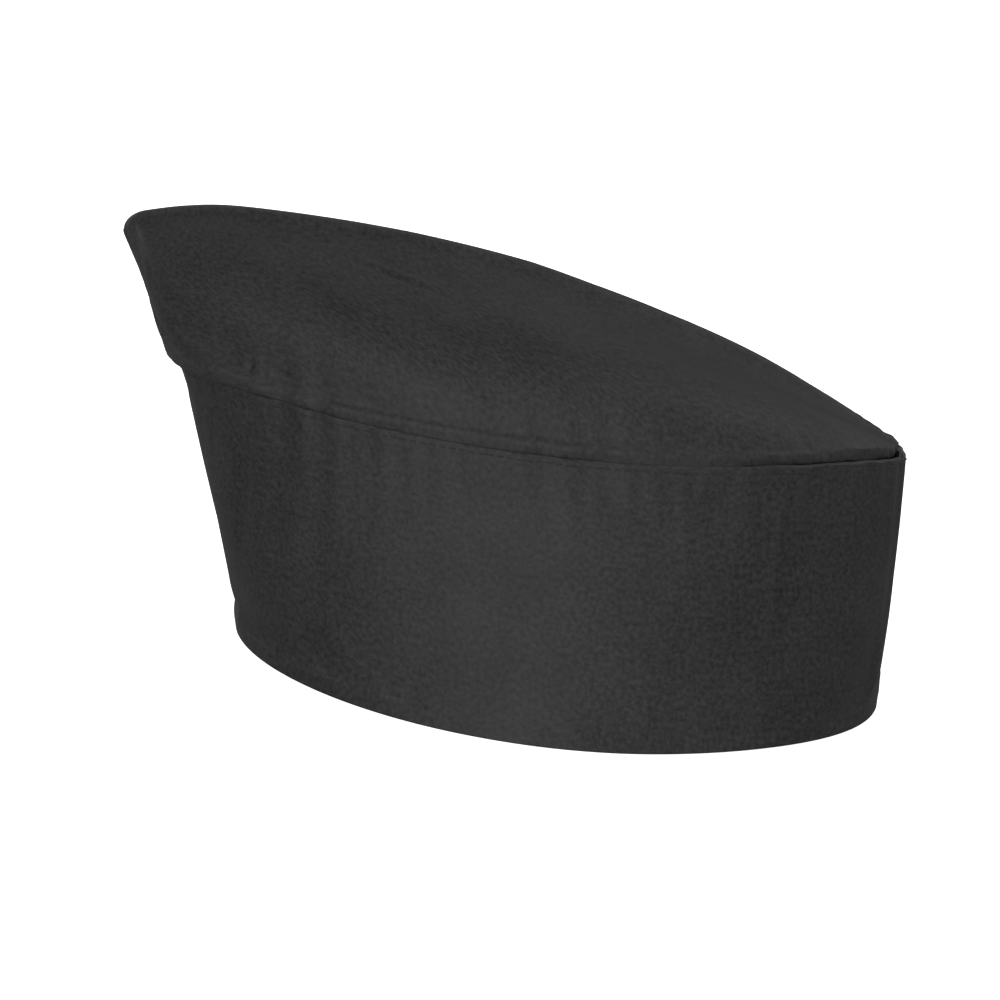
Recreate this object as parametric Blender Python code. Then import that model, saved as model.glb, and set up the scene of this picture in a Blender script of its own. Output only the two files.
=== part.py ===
"""Wedge-fronted chef's hat: a double band with an adjustable back and a two-panel crown.

World frame, in metres: +Z is up from the rim, -Y is the front and +X is the wearer's left.
The rim lies in the plane z = 0. The origin is under the middle of the hat's whole length,
and reaches to the front or back are given from the middle of the rim's oval.

The band is a straight strip folded double at the rim. It stands on the rim oval and ends
in a longer, narrower seam oval, so it leans forward at the front and inward at the sides.
Positions round the band are turns: 0 at the front centre, positive towards +X, 0.5 at the
back centre. Depth is measured inward from the hat's outer face, square to the wall.
"""
import bisect
import math

import bmesh
import bpy
from mathutils import Vector

# Overall sizes
RIM_LENGTH = 0.2134
RIM_WIDTH = 0.1640
RIM_SQUARENESS = 1.9        # exponent of the rim's oval, 2 is an ellipse
SEAM_FRONT = 0.1340         # reach forward of the crown seam
SEAM_BACK = 0.1045          # reach back of the crown seam
SEAM_WIDTH = 0.1200
BAND_HEIGHT = 0.0882        # slant height of the strip
BACK_HEIGHT = 0.0850        # its slant height at the back centre
NARROW_FROM = 0.42          # turn where the strip starts to narrow towards the back

# Crown profile, as heights above the rim plane
CROWN_REACH = 0.1545        # reach forward of the crown's front top corner
CORNER_HEIGHT = 0.1250      # height of the farthest point of that corner
CORNER_ROUND = 0.0070       # size of the corner's curve
CROWN_HEIGHT = 0.1383       # the highest part of the ridge
PEAK_REACH = 0.1150         # where the ridge is highest
HEEL_HEIGHT = 0.0025        # the crown's short centre seam at the back
RIDGE_SLOPE = math.radians(27)      # slope of the panels where they meet at the ridge
FRONT_FLARE = math.radians(26)      # lean of the crown's wall out of the seam at the front
SIDE_FLARE = math.radians(-4)
BACK_FLARE = math.radians(-30)
FLARE_SETTLED = 0.30        # share of a panel's run, front to back, where the side begins
BACK_BEGINS = 0.65          # and where the back begins
FRONT_SEAM_RUN = 0.08       # share over which the panel turns from the front seam to the ridge
FRONT_CROWDING = 1.35       # exponent that crowds the front stations along the ridge
BULGE = 0.42                # length of the panel curves' handles, as a share of their span

# Ridge curve: handles as shares of the corner's curve or of each span, forward and up
SHOULDER = Vector((0.80, 1.15))
CORNER_LEAVE = Vector((-0.10, 0.60))
SHOULDER_ARRIVE = Vector((0.50, 0.20))
CLIMB_LEAVE = Vector((0.30, 0.55))
CLIMB_ARRIVE = 0.45
DESCENT_LEAVE = 0.40
HEEL_ARRIVE = Vector((-0.22, 0.65))
RIDGE_SAMPLES = (10, 20, 90)        # points on the corner, the climb and the descent

# Cloth and padding thicknesses
CLOTH = 0.0005
INTERFACING = 0.0005
TERRY = 0.0012
TAPE = 0.0004
HOOK_THICKNESS = 0.0009
LOOP_THICKNESS = 0.0010
LABEL_THICKNESS = 0.0004
GAP = 0.0003                # clearance between neighbouring pieces

# Closure at the back
TAIL_ROOT = 0.385           # turns
TAIL_LENGTH = 0.1130
TAIL_TOP_DROP = 0.0020      # the tail's top edge sits this far below the crown seam
UNDERLAP_CLEARANCE = 0.0060
TUCK_RUN = 0.0260           # length over which the underlap steps inward
TUCK_LEAD = 1.4             # where that starts, in tuck runs ahead of the tail's tip
HOOK_WIDTH = 0.0250
HOOK_LENGTH = 0.0420
HOOK_INSET = 0.0050         # from the tail's free end
LOOP_WIDTH = 0.0250
LOOP_LENGTH = 0.0700
STRIP_CENTRE_HEIGHT = 0.0420

# Inside pieces
SEAM_ALLOWANCE = 0.0080
NO_ALLOWANCE = 1.6          # tuck runs each side of the tail's root that have no allowance
ALLOWANCE_TAPER = 0.5       # tuck runs over which it comes back
EDGE_RISE = 0.0012          # the crown stands this far out of the band before it curves
EASE_ROWS = 0.5             # share of a panel's height over which an inward step fades
SWEATBAND_HEIGHT = 0.0350
SWEATBAND_INSET = 0.0040
SWEATBAND_TURN = 0.31       # half of its run, in turns each way from the front centre
RIDGE_TAPE_WIDTH = 0.0120
RIDGE_TAPE_INSET = 0.0120   # bare ridge left at each end of the tape
LONGEST_TAPE_ROW = 0.9      # the tape reaches no farther down a panel than this share of it
LABEL_TURN = -0.265
LABEL_WIDTH = 0.0320
LABEL_HEIGHT = 0.0450
LABEL_TOP = 0.0800          # slant height of the label's sewn edge

# Sewing threads
THREAD_RADIUS = 0.0002
TOPSTITCH_INSET = 0.0020    # from a cloth edge to the row of stitches
SEAM_THREAD_LEAD = 0.4      # where the seam's row starts, in tuck runs past the tail's tip
TIP_STITCHES = 6            # points of the row that goes down the tail's tip

# Mesh fineness
BAND_STEPS = 68             # stations in one full turn
BAND_ROWS = 5               # rows up the band's full height
CROWN_ROWS = 10
ARC_SAMPLES = 1440
PROBE_TURN = 0.002          # half steps over which directions are measured
PROBE_RIDGE = 0.01
PROBE_CROWN = 0.004
SHARP_EDGE = math.radians(35)
WELD = 0.00002

# Sizes that follow
CHANNEL = GAP + INTERFACING + GAP
WALL = CLOTH + CHANNEL + CLOTH
TUCK = WALL + GAP + HOOK_THICKNESS + GAP + LOOP_THICKNESS + GAP
MIDDLE = (CROWN_REACH - RIM_LENGTH / 2) / 2
SEAM_LENGTH = SEAM_BACK + SEAM_FRONT
STEP = 1.0 / BAND_STEPS


def clear_scene():
    for item in list(bpy.data.objects):
        bpy.data.objects.remove(item, do_unlink=True)


def smooth(x):
    x = min(max(x, 0.0), 1.0)
    return x * x * (3.0 - 2.0 * x)


def lerp(a, b, k):
    return a + (b - a) * k


class Oval:
    """A flat oval with an even parameter: the share of its girth from the front centre."""

    def __init__(self, length, width, middle, squareness):
        self.points = []
        for i in range(ARC_SAMPLES + 1):
            angle = 2 * math.pi * i / ARC_SAMPLES
            c = math.cos(angle)
            s = math.sin(angle)
            x = width / 2 * math.copysign(abs(s) ** (2 / squareness), s)
            y = middle - length / 2 * math.copysign(abs(c) ** (2 / squareness), c)
            self.points.append(Vector((x, y)))
        self.run = [0.0]
        for a, b in zip(self.points, self.points[1:]):
            self.run.append(self.run[-1] + (b - a).length)
        self.girth = self.run[-1]

    def at(self, turn):
        distance = (turn % 1.0) * self.girth
        i = min(max(bisect.bisect_right(self.run, distance) - 1, 0), ARC_SAMPLES - 1)
        share = (distance - self.run[i]) / (self.run[i + 1] - self.run[i])
        return lerp(self.points[i], self.points[i + 1], share)

    def outward(self, turn):
        along = self.at(turn + PROBE_TURN) - self.at(turn - PROBE_TURN)
        return Vector((along.y, -along.x)).normalized()


RIM = Oval(RIM_LENGTH, RIM_WIDTH, MIDDLE, RIM_SQUARENESS)
SEAM = Oval(SEAM_LENGTH, SEAM_WIDTH, MIDDLE + (SEAM_BACK - SEAM_FRONT) / 2, 2.0)
TAIL_END = TAIL_ROOT + TAIL_LENGTH / RIM.girth
TUCK_TURNS = TUCK_RUN / RIM.girth


def seam_height(turn):
    """Height of the crown seam above the rim plane. The strip narrows a little to the back."""
    from_front = abs((turn + 0.5) % 1.0 - 0.5)
    share = smooth((from_front - NARROW_FROM) / (0.5 - NARROW_FROM))
    slant = lerp(BAND_HEIGHT, BACK_HEIGHT, share)
    lean = (SEAM.at(turn) - RIM.at(turn)).length
    return math.sqrt(slant ** 2 - lean ** 2)


def wall(turn, slant, depth):
    """A point of the band's wall, at a slant height above the rim and a depth inward."""
    foot = RIM.at(turn)
    head = SEAM.at(turn)
    rise = seam_height(turn)
    lean = (head - foot).dot(RIM.outward(turn))
    level_depth = depth * math.hypot(lean, rise) / rise
    foot = foot - RIM.outward(turn) * level_depth
    head = head - SEAM.outward(turn) * level_depth
    share = slant / BAND_HEIGHT
    flat = lerp(foot, head, share)
    return Vector((flat.x, flat.y, rise * share))


def band_tuck(turn):
    """How far the band steps inward: nothing up to the tail's end, all of it beneath."""
    start = TAIL_END - 1.0 + TUCK_TURNS * TUCK_LEAD
    return TUCK * smooth((start - turn) / TUCK_TURNS)


def crown_tuck(turn):
    """The crown follows the band, and steps inward over the tail's root on the other side."""
    if turn < 0:
        return band_tuck(turn)
    return TUCK * smooth((turn - TAIL_ROOT + TUCK_TURNS) / (2 * TUCK_TURNS))


def stations(first, last):
    """Turns from first to last, on the band's common steps in between."""
    inner = [i * STEP for i in range(math.ceil(first / STEP), math.floor(last / STEP) + 1)]
    inner = [t for t in inner if first + STEP * 0.3 < t < last - STEP * 0.3]
    return [first] + inner + [last]


def slants(low, high):
    """Slant heights from low to high, on the band's common rows in between.

    The last row but one is the foot of the crown's seam allowance, so the two nest.
    """
    row = (BAND_HEIGHT - SEAM_ALLOWANCE) / BAND_ROWS
    inner = [i * row for i in range(BAND_ROWS + 1)]
    inner = [h for h in inner if low + row * 0.2 < h < high - row * 0.2]
    return [low] + inner + [high]


def material(name, colour, roughness):
    made = bpy.data.materials.new(name)
    made.use_nodes = True
    shader = made.node_tree.nodes["Principled BSDF"]
    shader.inputs["Base Color"].default_value = (*colour, 1.0)
    shader.inputs["Roughness"].default_value = roughness
    shader.inputs["Metallic"].default_value = 0.0
    return made


def add_object(name, vertices, faces, coat, home, pivot=None):
    """A mesh object whose origin is the pivot, given vertices in world coordinates."""
    origin = Vector(pivot) if pivot else Vector((0, 0, 0))
    mesh = bpy.data.meshes.new(name)
    mesh.from_pydata([Vector(v) - origin for v in vertices], [], faces)
    mesh.validate()
    mesh.materials.append(coat)
    mesh.shade_smooth()
    mesh.set_sharp_from_angle(angle=SHARP_EDGE)
    made = bpy.data.objects.new(name, mesh)
    made.location = origin
    home.objects.link(made)
    return made


def thick_loft(name, face_rails, back_rails, coat, home, pivot=None):
    """A solid between two grids of points. Each rail is one row of points across the strip.

    A quad starts at the corner that makes its diagonal rise from one station to the next, so
    the facets of neighbouring layers nest.
    """
    count = len(face_rails)
    width = len(face_rails[0])
    vertices = [p for rail in face_rails for p in rail]
    vertices += [p for rail in back_rails for p in rail]
    back = count * width

    def index(i, j, side):
        return side * back + i * width + j

    faces = []
    for i in range(count - 1):
        for j in range(width - 1):
            quad = [index(i, j, 0), index(i + 1, j, 0), index(i + 1, j + 1, 0), index(i, j + 1, 0)]
            mirrored = [quad[0], quad[3], quad[2], quad[1]]
            if face_rails[i][j].z > face_rails[i][j + 1].z:
                quad = quad[1:] + quad[:1]
                mirrored = mirrored[1:] + mirrored[:1]
            faces.append(quad)
            faces.append([v + back for v in mirrored])
        for j in (0, width - 1):
            edge = [index(i, j, 1), index(i + 1, j, 1), index(i + 1, j, 0), index(i, j, 0)]
            faces.append(edge if j == 0 else edge[::-1])
    for j in range(width - 1):
        for i in (0, count - 1):
            cap = [index(i, j, 0), index(i, j + 1, 0), index(i, j + 1, 1), index(i, j, 1)]
            faces.append(cap if i == 0 else cap[::-1])
    return add_object(name, vertices, faces, coat, home, pivot)


def pocket_loft(name, outer_loops, inner_loops, coat, home, pivot):
    """A flat tube, open at its first loop and closed at its last.

    A loop goes up its outer wall and down its inner wall. The quads start as in thick_loft.
    """
    count = len(outer_loops)
    around = len(outer_loops[0])
    half = around // 2
    vertices = [p for loop in outer_loops for p in loop]
    inside = len(vertices)
    vertices += [p for loop in inner_loops for p in loop]
    faces = []
    for i in range(count - 1):
        near = around * i
        far = near + around
        for j in range(around):
            k = (j + 1) % around
            quad = [near + j, far + j, far + k, near + k]
            mirrored = [quad[0], quad[3], quad[2], quad[1]]
            if j >= half:
                quad = quad[1:] + quad[:1]
                mirrored = mirrored[1:] + mirrored[:1]
            faces.append(quad)
            faces.append([v + inside for v in mirrored])
    for j in range(around):
        k = (j + 1) % around
        faces.append([j, k, inside + k, inside + j])
    last = around * (count - 1)
    for j in range(half - 1):
        across = around - 1 - j
        lid = [last + across, last + across - 1, last + j + 1, last + j]
        faces.append(lid)
        faces.append([inside + v for v in reversed(lid)])
    return add_object(name, vertices, faces, coat, home, pivot)


def patch(name, turns, low, high, outer_depth, thickness, coat, home, pivot=None, tuck=None):
    """A flat strip of cloth or tape that follows the band's wall."""
    face = []
    back = []
    for turn in turns:
        shift = tuck(turn) if tuck else 0.0
        near = outer_depth + shift
        face.append([wall(turn, slant, near) for slant in slants(low, high)])
        back.append([wall(turn, slant, near + thickness) for slant in slants(low, high)])
    return thick_loft(name, face, back, coat, home, pivot)


def thread(name, points, closed, coat, home, pivot=None):
    """A sewing thread along points in world coordinates, turned into a mesh."""
    origin = Vector(pivot) if pivot else Vector((0, 0, 0))
    curve = bpy.data.curves.new(name, "CURVE")
    curve.dimensions = "3D"
    curve.bevel_depth = THREAD_RADIUS
    curve.bevel_resolution = 0
    curve.use_fill_caps = not closed
    spline = curve.splines.new("POLY")
    spline.points.add(len(points) - 1)
    for knot, point in zip(spline.points, points):
        knot.co = (*(Vector(point) - origin), 1.0)
    spline.use_cyclic_u = closed
    curve.materials.append(coat)
    made = bpy.data.objects.new(name, curve)
    made.location = origin
    home.objects.link(made)
    return made


def stitch_box(first, last, low, high, depth, tuck=None):
    """A rectangle of stitching on the wall, as a closed row of points."""
    def spot(turn, slant):
        shift = tuck(turn) if tuck else 0.0
        return wall(turn, slant, depth + shift)

    turns = stations(first, last)
    middle = (low + high) / 2
    points = [spot(t, low) for t in turns]
    points.append(spot(last, middle))
    points += [spot(t, high) for t in reversed(turns)]
    points.append(spot(first, middle))
    return points


# ------------------------------------------------------------------ band
def fold(turn, low, outside, inside):
    """One rail of the folded shell: down its outer layer and up its inner layer."""
    heights = slants(0.0, BAND_HEIGHT)
    heights[0] = low
    down = [wall(turn, slant, outside) for slant in reversed(heights)]
    return down + [wall(turn, slant, inside) for slant in heights]


def make_band(coat, home):
    """The shell, folded double at the rim with its channel open at the crown seam."""
    first = TAIL_ROOT - 1.0 + UNDERLAP_CLEARANCE / RIM.girth
    face = []
    back = []
    for turn in stations(first, TAIL_ROOT):
        shift = band_tuck(turn)
        face.append(fold(turn, 0.0, shift, shift + WALL))
        back.append(fold(turn, CLOTH, shift + CLOTH, shift + WALL - CLOTH))
    return thick_loft("band", back, face, coat, home)


def make_band_interfacing(coat, home):
    """The stiffener in the band's fold. It stops short of the crown's seam allowance."""
    first = TAIL_ROOT - 1.0 + UNDERLAP_CLEARANCE / RIM.girth
    top = BAND_HEIGHT - SEAM_ALLOWANCE - GAP
    return patch("band_interfacing", stations(first, TAIL_ROOT), CLOTH + GAP, top,
                 CLOTH + GAP, INTERFACING, coat, home, tuck=band_tuck)


# ------------------------------------------------------------------ crown
def bezier(knots, k):
    a, b, c, d = knots
    m = 1.0 - k
    return a * m ** 3 + b * (3 * m * m * k) + c * (3 * m * k * k) + d * k ** 3


def crown_base(turn):
    """Where the crown starts to curve: just above the channel between the band's layers."""
    return wall(turn, BAND_HEIGHT + EDGE_RISE, crown_tuck(turn) + CLOTH + GAP)


def front_seam_top():
    """The front centre seam's upper end, on the corner's curve, as (y, z)."""
    return Vector((MIDDLE - CROWN_REACH, CORNER_HEIGHT))


def spread(vector, forward, up):
    """A (y, z) vector from a pair of shares and the two lengths they are shares of."""
    return Vector((vector.x * forward, vector.y * up))


def ridge_points():
    """The ridge from the corner to the heel, as closely spaced (y, z) points."""
    corner = front_seam_top()
    peak = Vector((MIDDLE - PEAK_REACH, CROWN_HEIGHT))
    end = crown_base(0.5)
    heel = Vector((end.y - HEEL_HEIGHT, end.z + HEEL_HEIGHT))
    shoulder = corner + SHOULDER * CORNER_ROUND
    climb_span = peak - shoulder
    run = heel.x - peak.x
    fall = peak.y - heel.y
    spans = (
        (corner, corner + CORNER_LEAVE * CORNER_ROUND,
         shoulder - SHOULDER_ARRIVE * CORNER_ROUND, shoulder),
        (shoulder, shoulder + spread(CLIMB_LEAVE, climb_span.x, climb_span.y),
         peak - Vector((climb_span.x * CLIMB_ARRIVE, 0.0)), peak),
        (peak, peak + Vector((run * DESCENT_LEAVE, 0.0)),
         heel + spread(HEEL_ARRIVE, run, fall), heel))
    points = []
    for knots, count in zip(spans, RIDGE_SAMPLES):
        points += [bezier(knots, i / count) for i in range(count)]
    return points + [heel]


class Ridge:
    def __init__(self):
        self.points = ridge_points()
        self.run = [0.0]
        for a, b in zip(self.points, self.points[1:]):
            self.run.append(self.run[-1] + (b - a).length)

    def at(self, share):
        distance = min(max(share, 0.0), 1.0) * self.run[-1]
        i = min(max(bisect.bisect_right(self.run, distance) - 1, 0), len(self.run) - 2)
        part = (distance - self.run[i]) / (self.run[i + 1] - self.run[i])
        return lerp(self.points[i], self.points[i + 1], part)

    def inward(self, share):
        """The unit normal of the ridge that points into the crown, as (y, z)."""
        along = self.at(share + PROBE_RIDGE) - self.at(share - PROBE_RIDGE)
        return Vector((along.y, -along.x)).normalized()


RIDGE = Ridge()


def crown_point(share, row):
    """The left panel's outer face: share runs front to back, row runs from seam to ridge."""
    turn = share / 2
    base = crown_base(turn)
    along_ridge = share ** FRONT_CROWDING
    flat = RIDGE.at(along_ridge)
    top = Vector((0.0, flat.x, flat.y))
    length = (top - base).length
    out = SEAM.outward(turn)
    flare = lerp(FRONT_FLARE, SIDE_FLARE, smooth(share / FLARE_SETTLED))
    flare = lerp(flare, BACK_FLARE, smooth((share - BACK_BEGINS) / (1.0 - BACK_BEGINS)))
    leave = Vector((out.x * math.sin(flare), out.y * math.sin(flare), math.cos(flare)))
    inward = RIDGE.inward(along_ridge)
    side = Vector((math.cos(RIDGE_SLOPE), inward.x * math.sin(RIDGE_SLOPE),
                   inward.y * math.sin(RIDGE_SLOPE)))
    corner = front_seam_top()
    front = crown_base(0.0)
    down = Vector((0.0, front.y - corner.x, front.z - corner.y)).normalized()
    arrive = lerp(down, side, smooth(share / FRONT_SEAM_RUN)).normalized()
    knots = (base, base + leave * length * BULGE, top + arrive * length * BULGE, top)
    point = bezier(knots, row)
    point.x = max(point.x, 0.0)
    return point


def crown_normal(share, row):
    step = PROBE_CROWN
    along = crown_point(min(share + step, 1.0), row) - crown_point(max(share - step, 0.0), row)
    across = crown_point(share, min(row + step, 1.0)) - crown_point(share, max(row - step, 0.0))
    if share - step < 0.0 or share + step > 1.0:
        along = Vector((1.0, 0.0, 0.0)) * (1 if share < 0.5 else -1)
    return along.cross(across).normalized()


def crown_inside(share, row, depth):
    """A point below the outer face, kept on its own side of the centre plane."""
    point = crown_point(share, row) - crown_normal(share, row) * depth
    point.x = max(point.x, 0.0)
    return point


def allowance(share):
    """Length of the crown's edge inside the band, none where it crosses the tail's root."""
    clear = abs(share / 2 - TAIL_ROOT) - TUCK_TURNS * NO_ALLOWANCE
    return SEAM_ALLOWANCE * smooth(clear / (TUCK_TURNS * ALLOWANCE_TAPER))


def crown_shares():
    steps = BAND_STEPS // 2
    return [i / steps for i in range(steps + 1)]


def make_crown_panel(name, side, coat, home):
    """One half of the crown, from its seam allowance up to the ridge; side is +1 or -1."""
    face = []
    back = []
    for share in crown_shares():
        turn = share / 2
        tuck = crown_tuck(turn) if side > 0 else band_tuck(-turn)
        shift = tuck - crown_tuck(turn)
        reach = allowance(share) if side > 0 else SEAM_ALLOWANCE
        foot = BAND_HEIGHT + GAP - reach - GAP * reach / SEAM_ALLOWANCE
        near = CLOTH + GAP + tuck
        front_rail = [wall(turn, foot, near)]
        back_rail = [wall(turn, foot, near + CLOTH)]
        for j in range(CROWN_ROWS + 1):
            row = j / CROWN_ROWS
            step_in = wall(turn, BAND_HEIGHT, near) - wall(turn, BAND_HEIGHT, near - shift)
            ease = step_in * (1.0 - smooth(row / EASE_ROWS))
            front_rail.append(crown_point(share, row) + ease)
            back_rail.append(crown_inside(share, row, CLOTH) + ease)
        for rail in (front_rail, back_rail):
            for point in rail:
                point.x = side * (max(point.x, 0.0) + GAP / 2)
        face.append(front_rail)
        back.append(back_rail)
    if side > 0:
        return thick_loft(name, face, back, coat, home)
    return thick_loft(name, back, face, coat, home)


def make_ridge_tape(coat, home):
    """A tape folded along its middle, under both panels' edges at the ridge."""
    first = RIDGE_TAPE_INSET / RIDGE.run[-1]
    face = []
    back = []
    for share in crown_shares():
        if not first < share < 1.0 - first:
            continue
        width = (crown_point(share, 0.0) - crown_point(share, 1.0)).length
        low_row = 1.0 - min(RIDGE_TAPE_WIDTH / 2 / width, LONGEST_TAPE_ROW)
        rails = []
        for depth in (CLOTH + GAP, CLOTH + GAP + TAPE):
            edge = crown_point(share, low_row) - crown_normal(share, low_row) * depth
            half = crown_point(share, (1 + low_row) / 2)
            half = half - crown_normal(share, (1 + low_row) / 2) * depth
            normal = crown_normal(share, 1.0)
            inward = RIDGE.inward(share ** FRONT_CROWDING)
            square = Vector((0.0, inward.x, inward.y))
            keel = crown_point(share, 1.0) + square * (depth / -normal.dot(square))
            keel.x = 0.0
            rails.append([Vector((-edge.x, edge.y, edge.z)), Vector((-half.x, half.y, half.z)),
                          keel, half, edge])
        back.append(rails[0])
        face.append(rails[1])
    return thick_loft("ridge_seam_tape", face, back, coat, home)


# ------------------------------------------------------------------ inside pieces
def make_sweatband(coat, home):
    """A towelling strip round the front of the rim, inside."""
    return patch("sweatband", stations(-SWEATBAND_TURN, SWEATBAND_TURN),
                 SWEATBAND_INSET, SWEATBAND_INSET + SWEATBAND_HEIGHT,
                 WALL + GAP, TERRY, coat, home)


def make_sweatband_thread(coat, home):
    edge = TOPSTITCH_INSET
    end = edge / RIM.girth
    points = stitch_box(end - SWEATBAND_TURN, SWEATBAND_TURN - end, SWEATBAND_INSET + edge,
                        SWEATBAND_INSET + SWEATBAND_HEIGHT - edge,
                        WALL + GAP + TERRY + GAP + THREAD_RADIUS)
    return thread("sweatband_thread", points, True, coat, home)


def label_edge():
    """The two ends of the label's sewn top edge: a straight chord across the curved wall."""
    half = LABEL_WIDTH / 2 / SEAM.girth
    return (wall(LABEL_TURN - half, LABEL_TOP, WALL + GAP),
            wall(LABEL_TURN + half, LABEL_TOP, WALL + GAP))


def make_label(coat, home):
    """A blank label that hangs straight down from its sewn edge."""
    first, last = label_edge()
    inward = (last - first).cross(Vector((0.0, 0.0, -1.0))).normalized() * LABEL_THICKNESS
    drop = Vector((0.0, 0.0, -LABEL_HEIGHT))
    face = [[end + drop, end] for end in (first, last)]
    back = [[end + drop + inward, end + inward] for end in (first, last)]
    return thick_loft("care_label", face, back, coat, home, (first + last) / 2)


# ------------------------------------------------------------------ closure
def tail_turns():
    return stations(TAIL_ROOT + 2 * GAP / RIM.girth, TAIL_END)


def tail_pivot():
    """The foot of the fold line at the tail's root, on the outer face, leaning with the wall."""
    return wall(TAIL_ROOT, 0.0, 0.0)


def tail_loop(turn, low, high, near, far):
    """One ring of the tail's tube: up at the near depth and down at the far depth."""
    heights = slants(0.0, BAND_HEIGHT - TAIL_TOP_DROP)
    heights[0] = low
    heights[-1] = high
    up = [wall(turn, slant, near) for slant in heights]
    return up + [wall(turn, slant, far) for slant in reversed(heights)]


def make_tail(coat, home):
    """The band's free end: shell cloth closed along its top, bottom and tip."""
    top = BAND_HEIGHT - TAIL_TOP_DROP
    outer = []
    inner = []
    turns = tail_turns()
    for turn in turns:
        outer.append(tail_loop(turn, 0.0, top, 0.0, WALL))
        inside = turn if turn < turns[-1] else turn - CLOTH / RIM.girth
        inner.append(tail_loop(inside, CLOTH, top - CLOTH, CLOTH, WALL - CLOTH))
    return pocket_loft("closure_tail", outer, inner, coat, home, tail_pivot())


def make_tail_interfacing(coat, home):
    turns = tail_turns()
    turns[-1] -= (CLOTH + GAP) / RIM.girth
    top = BAND_HEIGHT - TAIL_TOP_DROP - CLOTH - GAP
    return patch("closure_tail_interfacing", turns, CLOTH + GAP, top, CLOTH + GAP,
                 INTERFACING, coat, home, tail_pivot())


def hook_span():
    last = TAIL_END - HOOK_INSET / RIM.girth
    return last - HOOK_LENGTH / RIM.girth, last


def loop_span():
    last = hook_span()[1] - 1.0
    return last - LOOP_LENGTH / RIM.girth, last


def make_hook_strip(coat, home):
    """The hooked strip, sewn to the inside of the tail's tip."""
    low = STRIP_CENTRE_HEIGHT - HOOK_WIDTH / 2
    return patch("hook_strip", stations(*hook_span()), low, low + HOOK_WIDTH, WALL + GAP,
                 HOOK_THICKNESS, coat, home, tail_pivot())


def make_loop_strip(coat, home):
    """The looped strip, sewn to the outside of the underlap."""
    low = STRIP_CENTRE_HEIGHT - LOOP_WIDTH / 2
    return patch("loop_strip", stations(*loop_span()), low, low + LOOP_WIDTH,
                 TUCK - GAP - LOOP_THICKNESS, LOOP_THICKNESS, coat, home)


def make_hook_thread(coat, home):
    """The stitching that holds the hooked strip, seen on the tail's outer face."""
    first, last = hook_span()
    inset = TOPSTITCH_INSET
    low = STRIP_CENTRE_HEIGHT - HOOK_WIDTH / 2 + inset
    high = low + HOOK_WIDTH - 2 * inset
    end = inset / RIM.girth
    points = stitch_box(first + end, last - end, low, high, -GAP - THREAD_RADIUS)
    return thread("hook_strip_thread", points, True, coat, home, tail_pivot())


def make_loop_thread(coat, home):
    """The stitching that holds the looped strip, seen inside the hat."""
    first, last = loop_span()
    inset = TOPSTITCH_INSET
    low = STRIP_CENTRE_HEIGHT - LOOP_WIDTH / 2 + inset
    high = low + LOOP_WIDTH - 2 * inset
    end = inset / RIM.girth
    points = stitch_box(first + end, last - end, low, high,
                        TUCK + WALL + GAP + THREAD_RADIUS)
    return thread("loop_strip_thread", points, True, coat, home)


def make_tail_edge_thread(coat, home):
    """The topstitching along the tail's upper edge and round its tip."""
    turns = tail_turns()
    inset = TOPSTITCH_INSET
    depth = -GAP - THREAD_RADIUS
    turns[0] += inset / RIM.girth
    turns[-1] -= inset / RIM.girth
    top = BAND_HEIGHT - TAIL_TOP_DROP - inset
    points = [wall(turn, top, depth) for turn in turns]
    drop = top - inset
    points += [wall(turns[-1], top - drop * i / TIP_STITCHES, depth)
               for i in range(1, TIP_STITCHES + 1)]
    return thread("tail_edge_thread", points, False, coat, home, tail_pivot())


def make_seam_thread(coat, home):
    """The topstitching on the band just under the crown seam."""
    first = TAIL_END - 1.0 + TUCK_TURNS * SEAM_THREAD_LEAD
    last = TAIL_ROOT - TOPSTITCH_INSET / RIM.girth
    points = []
    for turn in stations(first, last):
        points.append(wall(turn, BAND_HEIGHT - TOPSTITCH_INSET,
                           band_tuck(turn) - GAP - THREAD_RADIUS))
    return thread("crown_seam_thread", points, False, coat, home)


def as_meshes(objects):
    """Curves turned into meshes, with their caps welded."""
    bpy.context.view_layer.update()
    graph = bpy.context.evaluated_depsgraph_get()
    for old in objects:
        name = old.name
        home = old.users_collection[0]
        mesh = bpy.data.meshes.new_from_object(old.evaluated_get(graph))
        build = bmesh.new()
        build.from_mesh(mesh)
        bmesh.ops.remove_doubles(build, verts=build.verts, dist=WELD)
        build.to_mesh(mesh)
        build.free()
        place = old.matrix_world.copy()
        bpy.data.objects.remove(old, do_unlink=True)
        made = bpy.data.objects.new(name, mesh)
        made.matrix_world = place
        home.objects.link(made)


def main():
    clear_scene()
    home = bpy.data.collections.new("chef_toque")
    bpy.context.scene.collection.children.link(home)
    shell = material("black_twill", (0.035, 0.035, 0.036), 0.85)
    stiffener = material("grey_interfacing", (0.20, 0.20, 0.20), 0.90)
    terry = material("black_terry", (0.03, 0.03, 0.03), 0.95)
    tape = material("black_tape", (0.03, 0.03, 0.03), 0.80)
    hooks = material("black_hooks", (0.02, 0.02, 0.02), 0.50)
    loops = material("black_loops", (0.02, 0.02, 0.02), 0.95)
    paper = material("white_label", (0.75, 0.75, 0.73), 0.60)
    yarn = material("black_thread", (0.03, 0.03, 0.03), 0.60)

    make_band(shell, home)
    make_band_interfacing(stiffener, home)
    make_crown_panel("crown_panel_left", 1, shell, home)
    make_crown_panel("crown_panel_right", -1, shell, home)
    make_ridge_tape(tape, home)
    make_sweatband(terry, home)
    make_label(paper, home)
    make_tail(shell, home)
    make_tail_interfacing(stiffener, home)
    make_hook_strip(hooks, home)
    make_loop_strip(loops, home)
    as_meshes([
        make_seam_thread(yarn, home),
        make_tail_edge_thread(yarn, home),
        make_hook_thread(yarn, home),
        make_loop_thread(yarn, home),
        make_sweatband_thread(yarn, home),
    ])


main()
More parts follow.
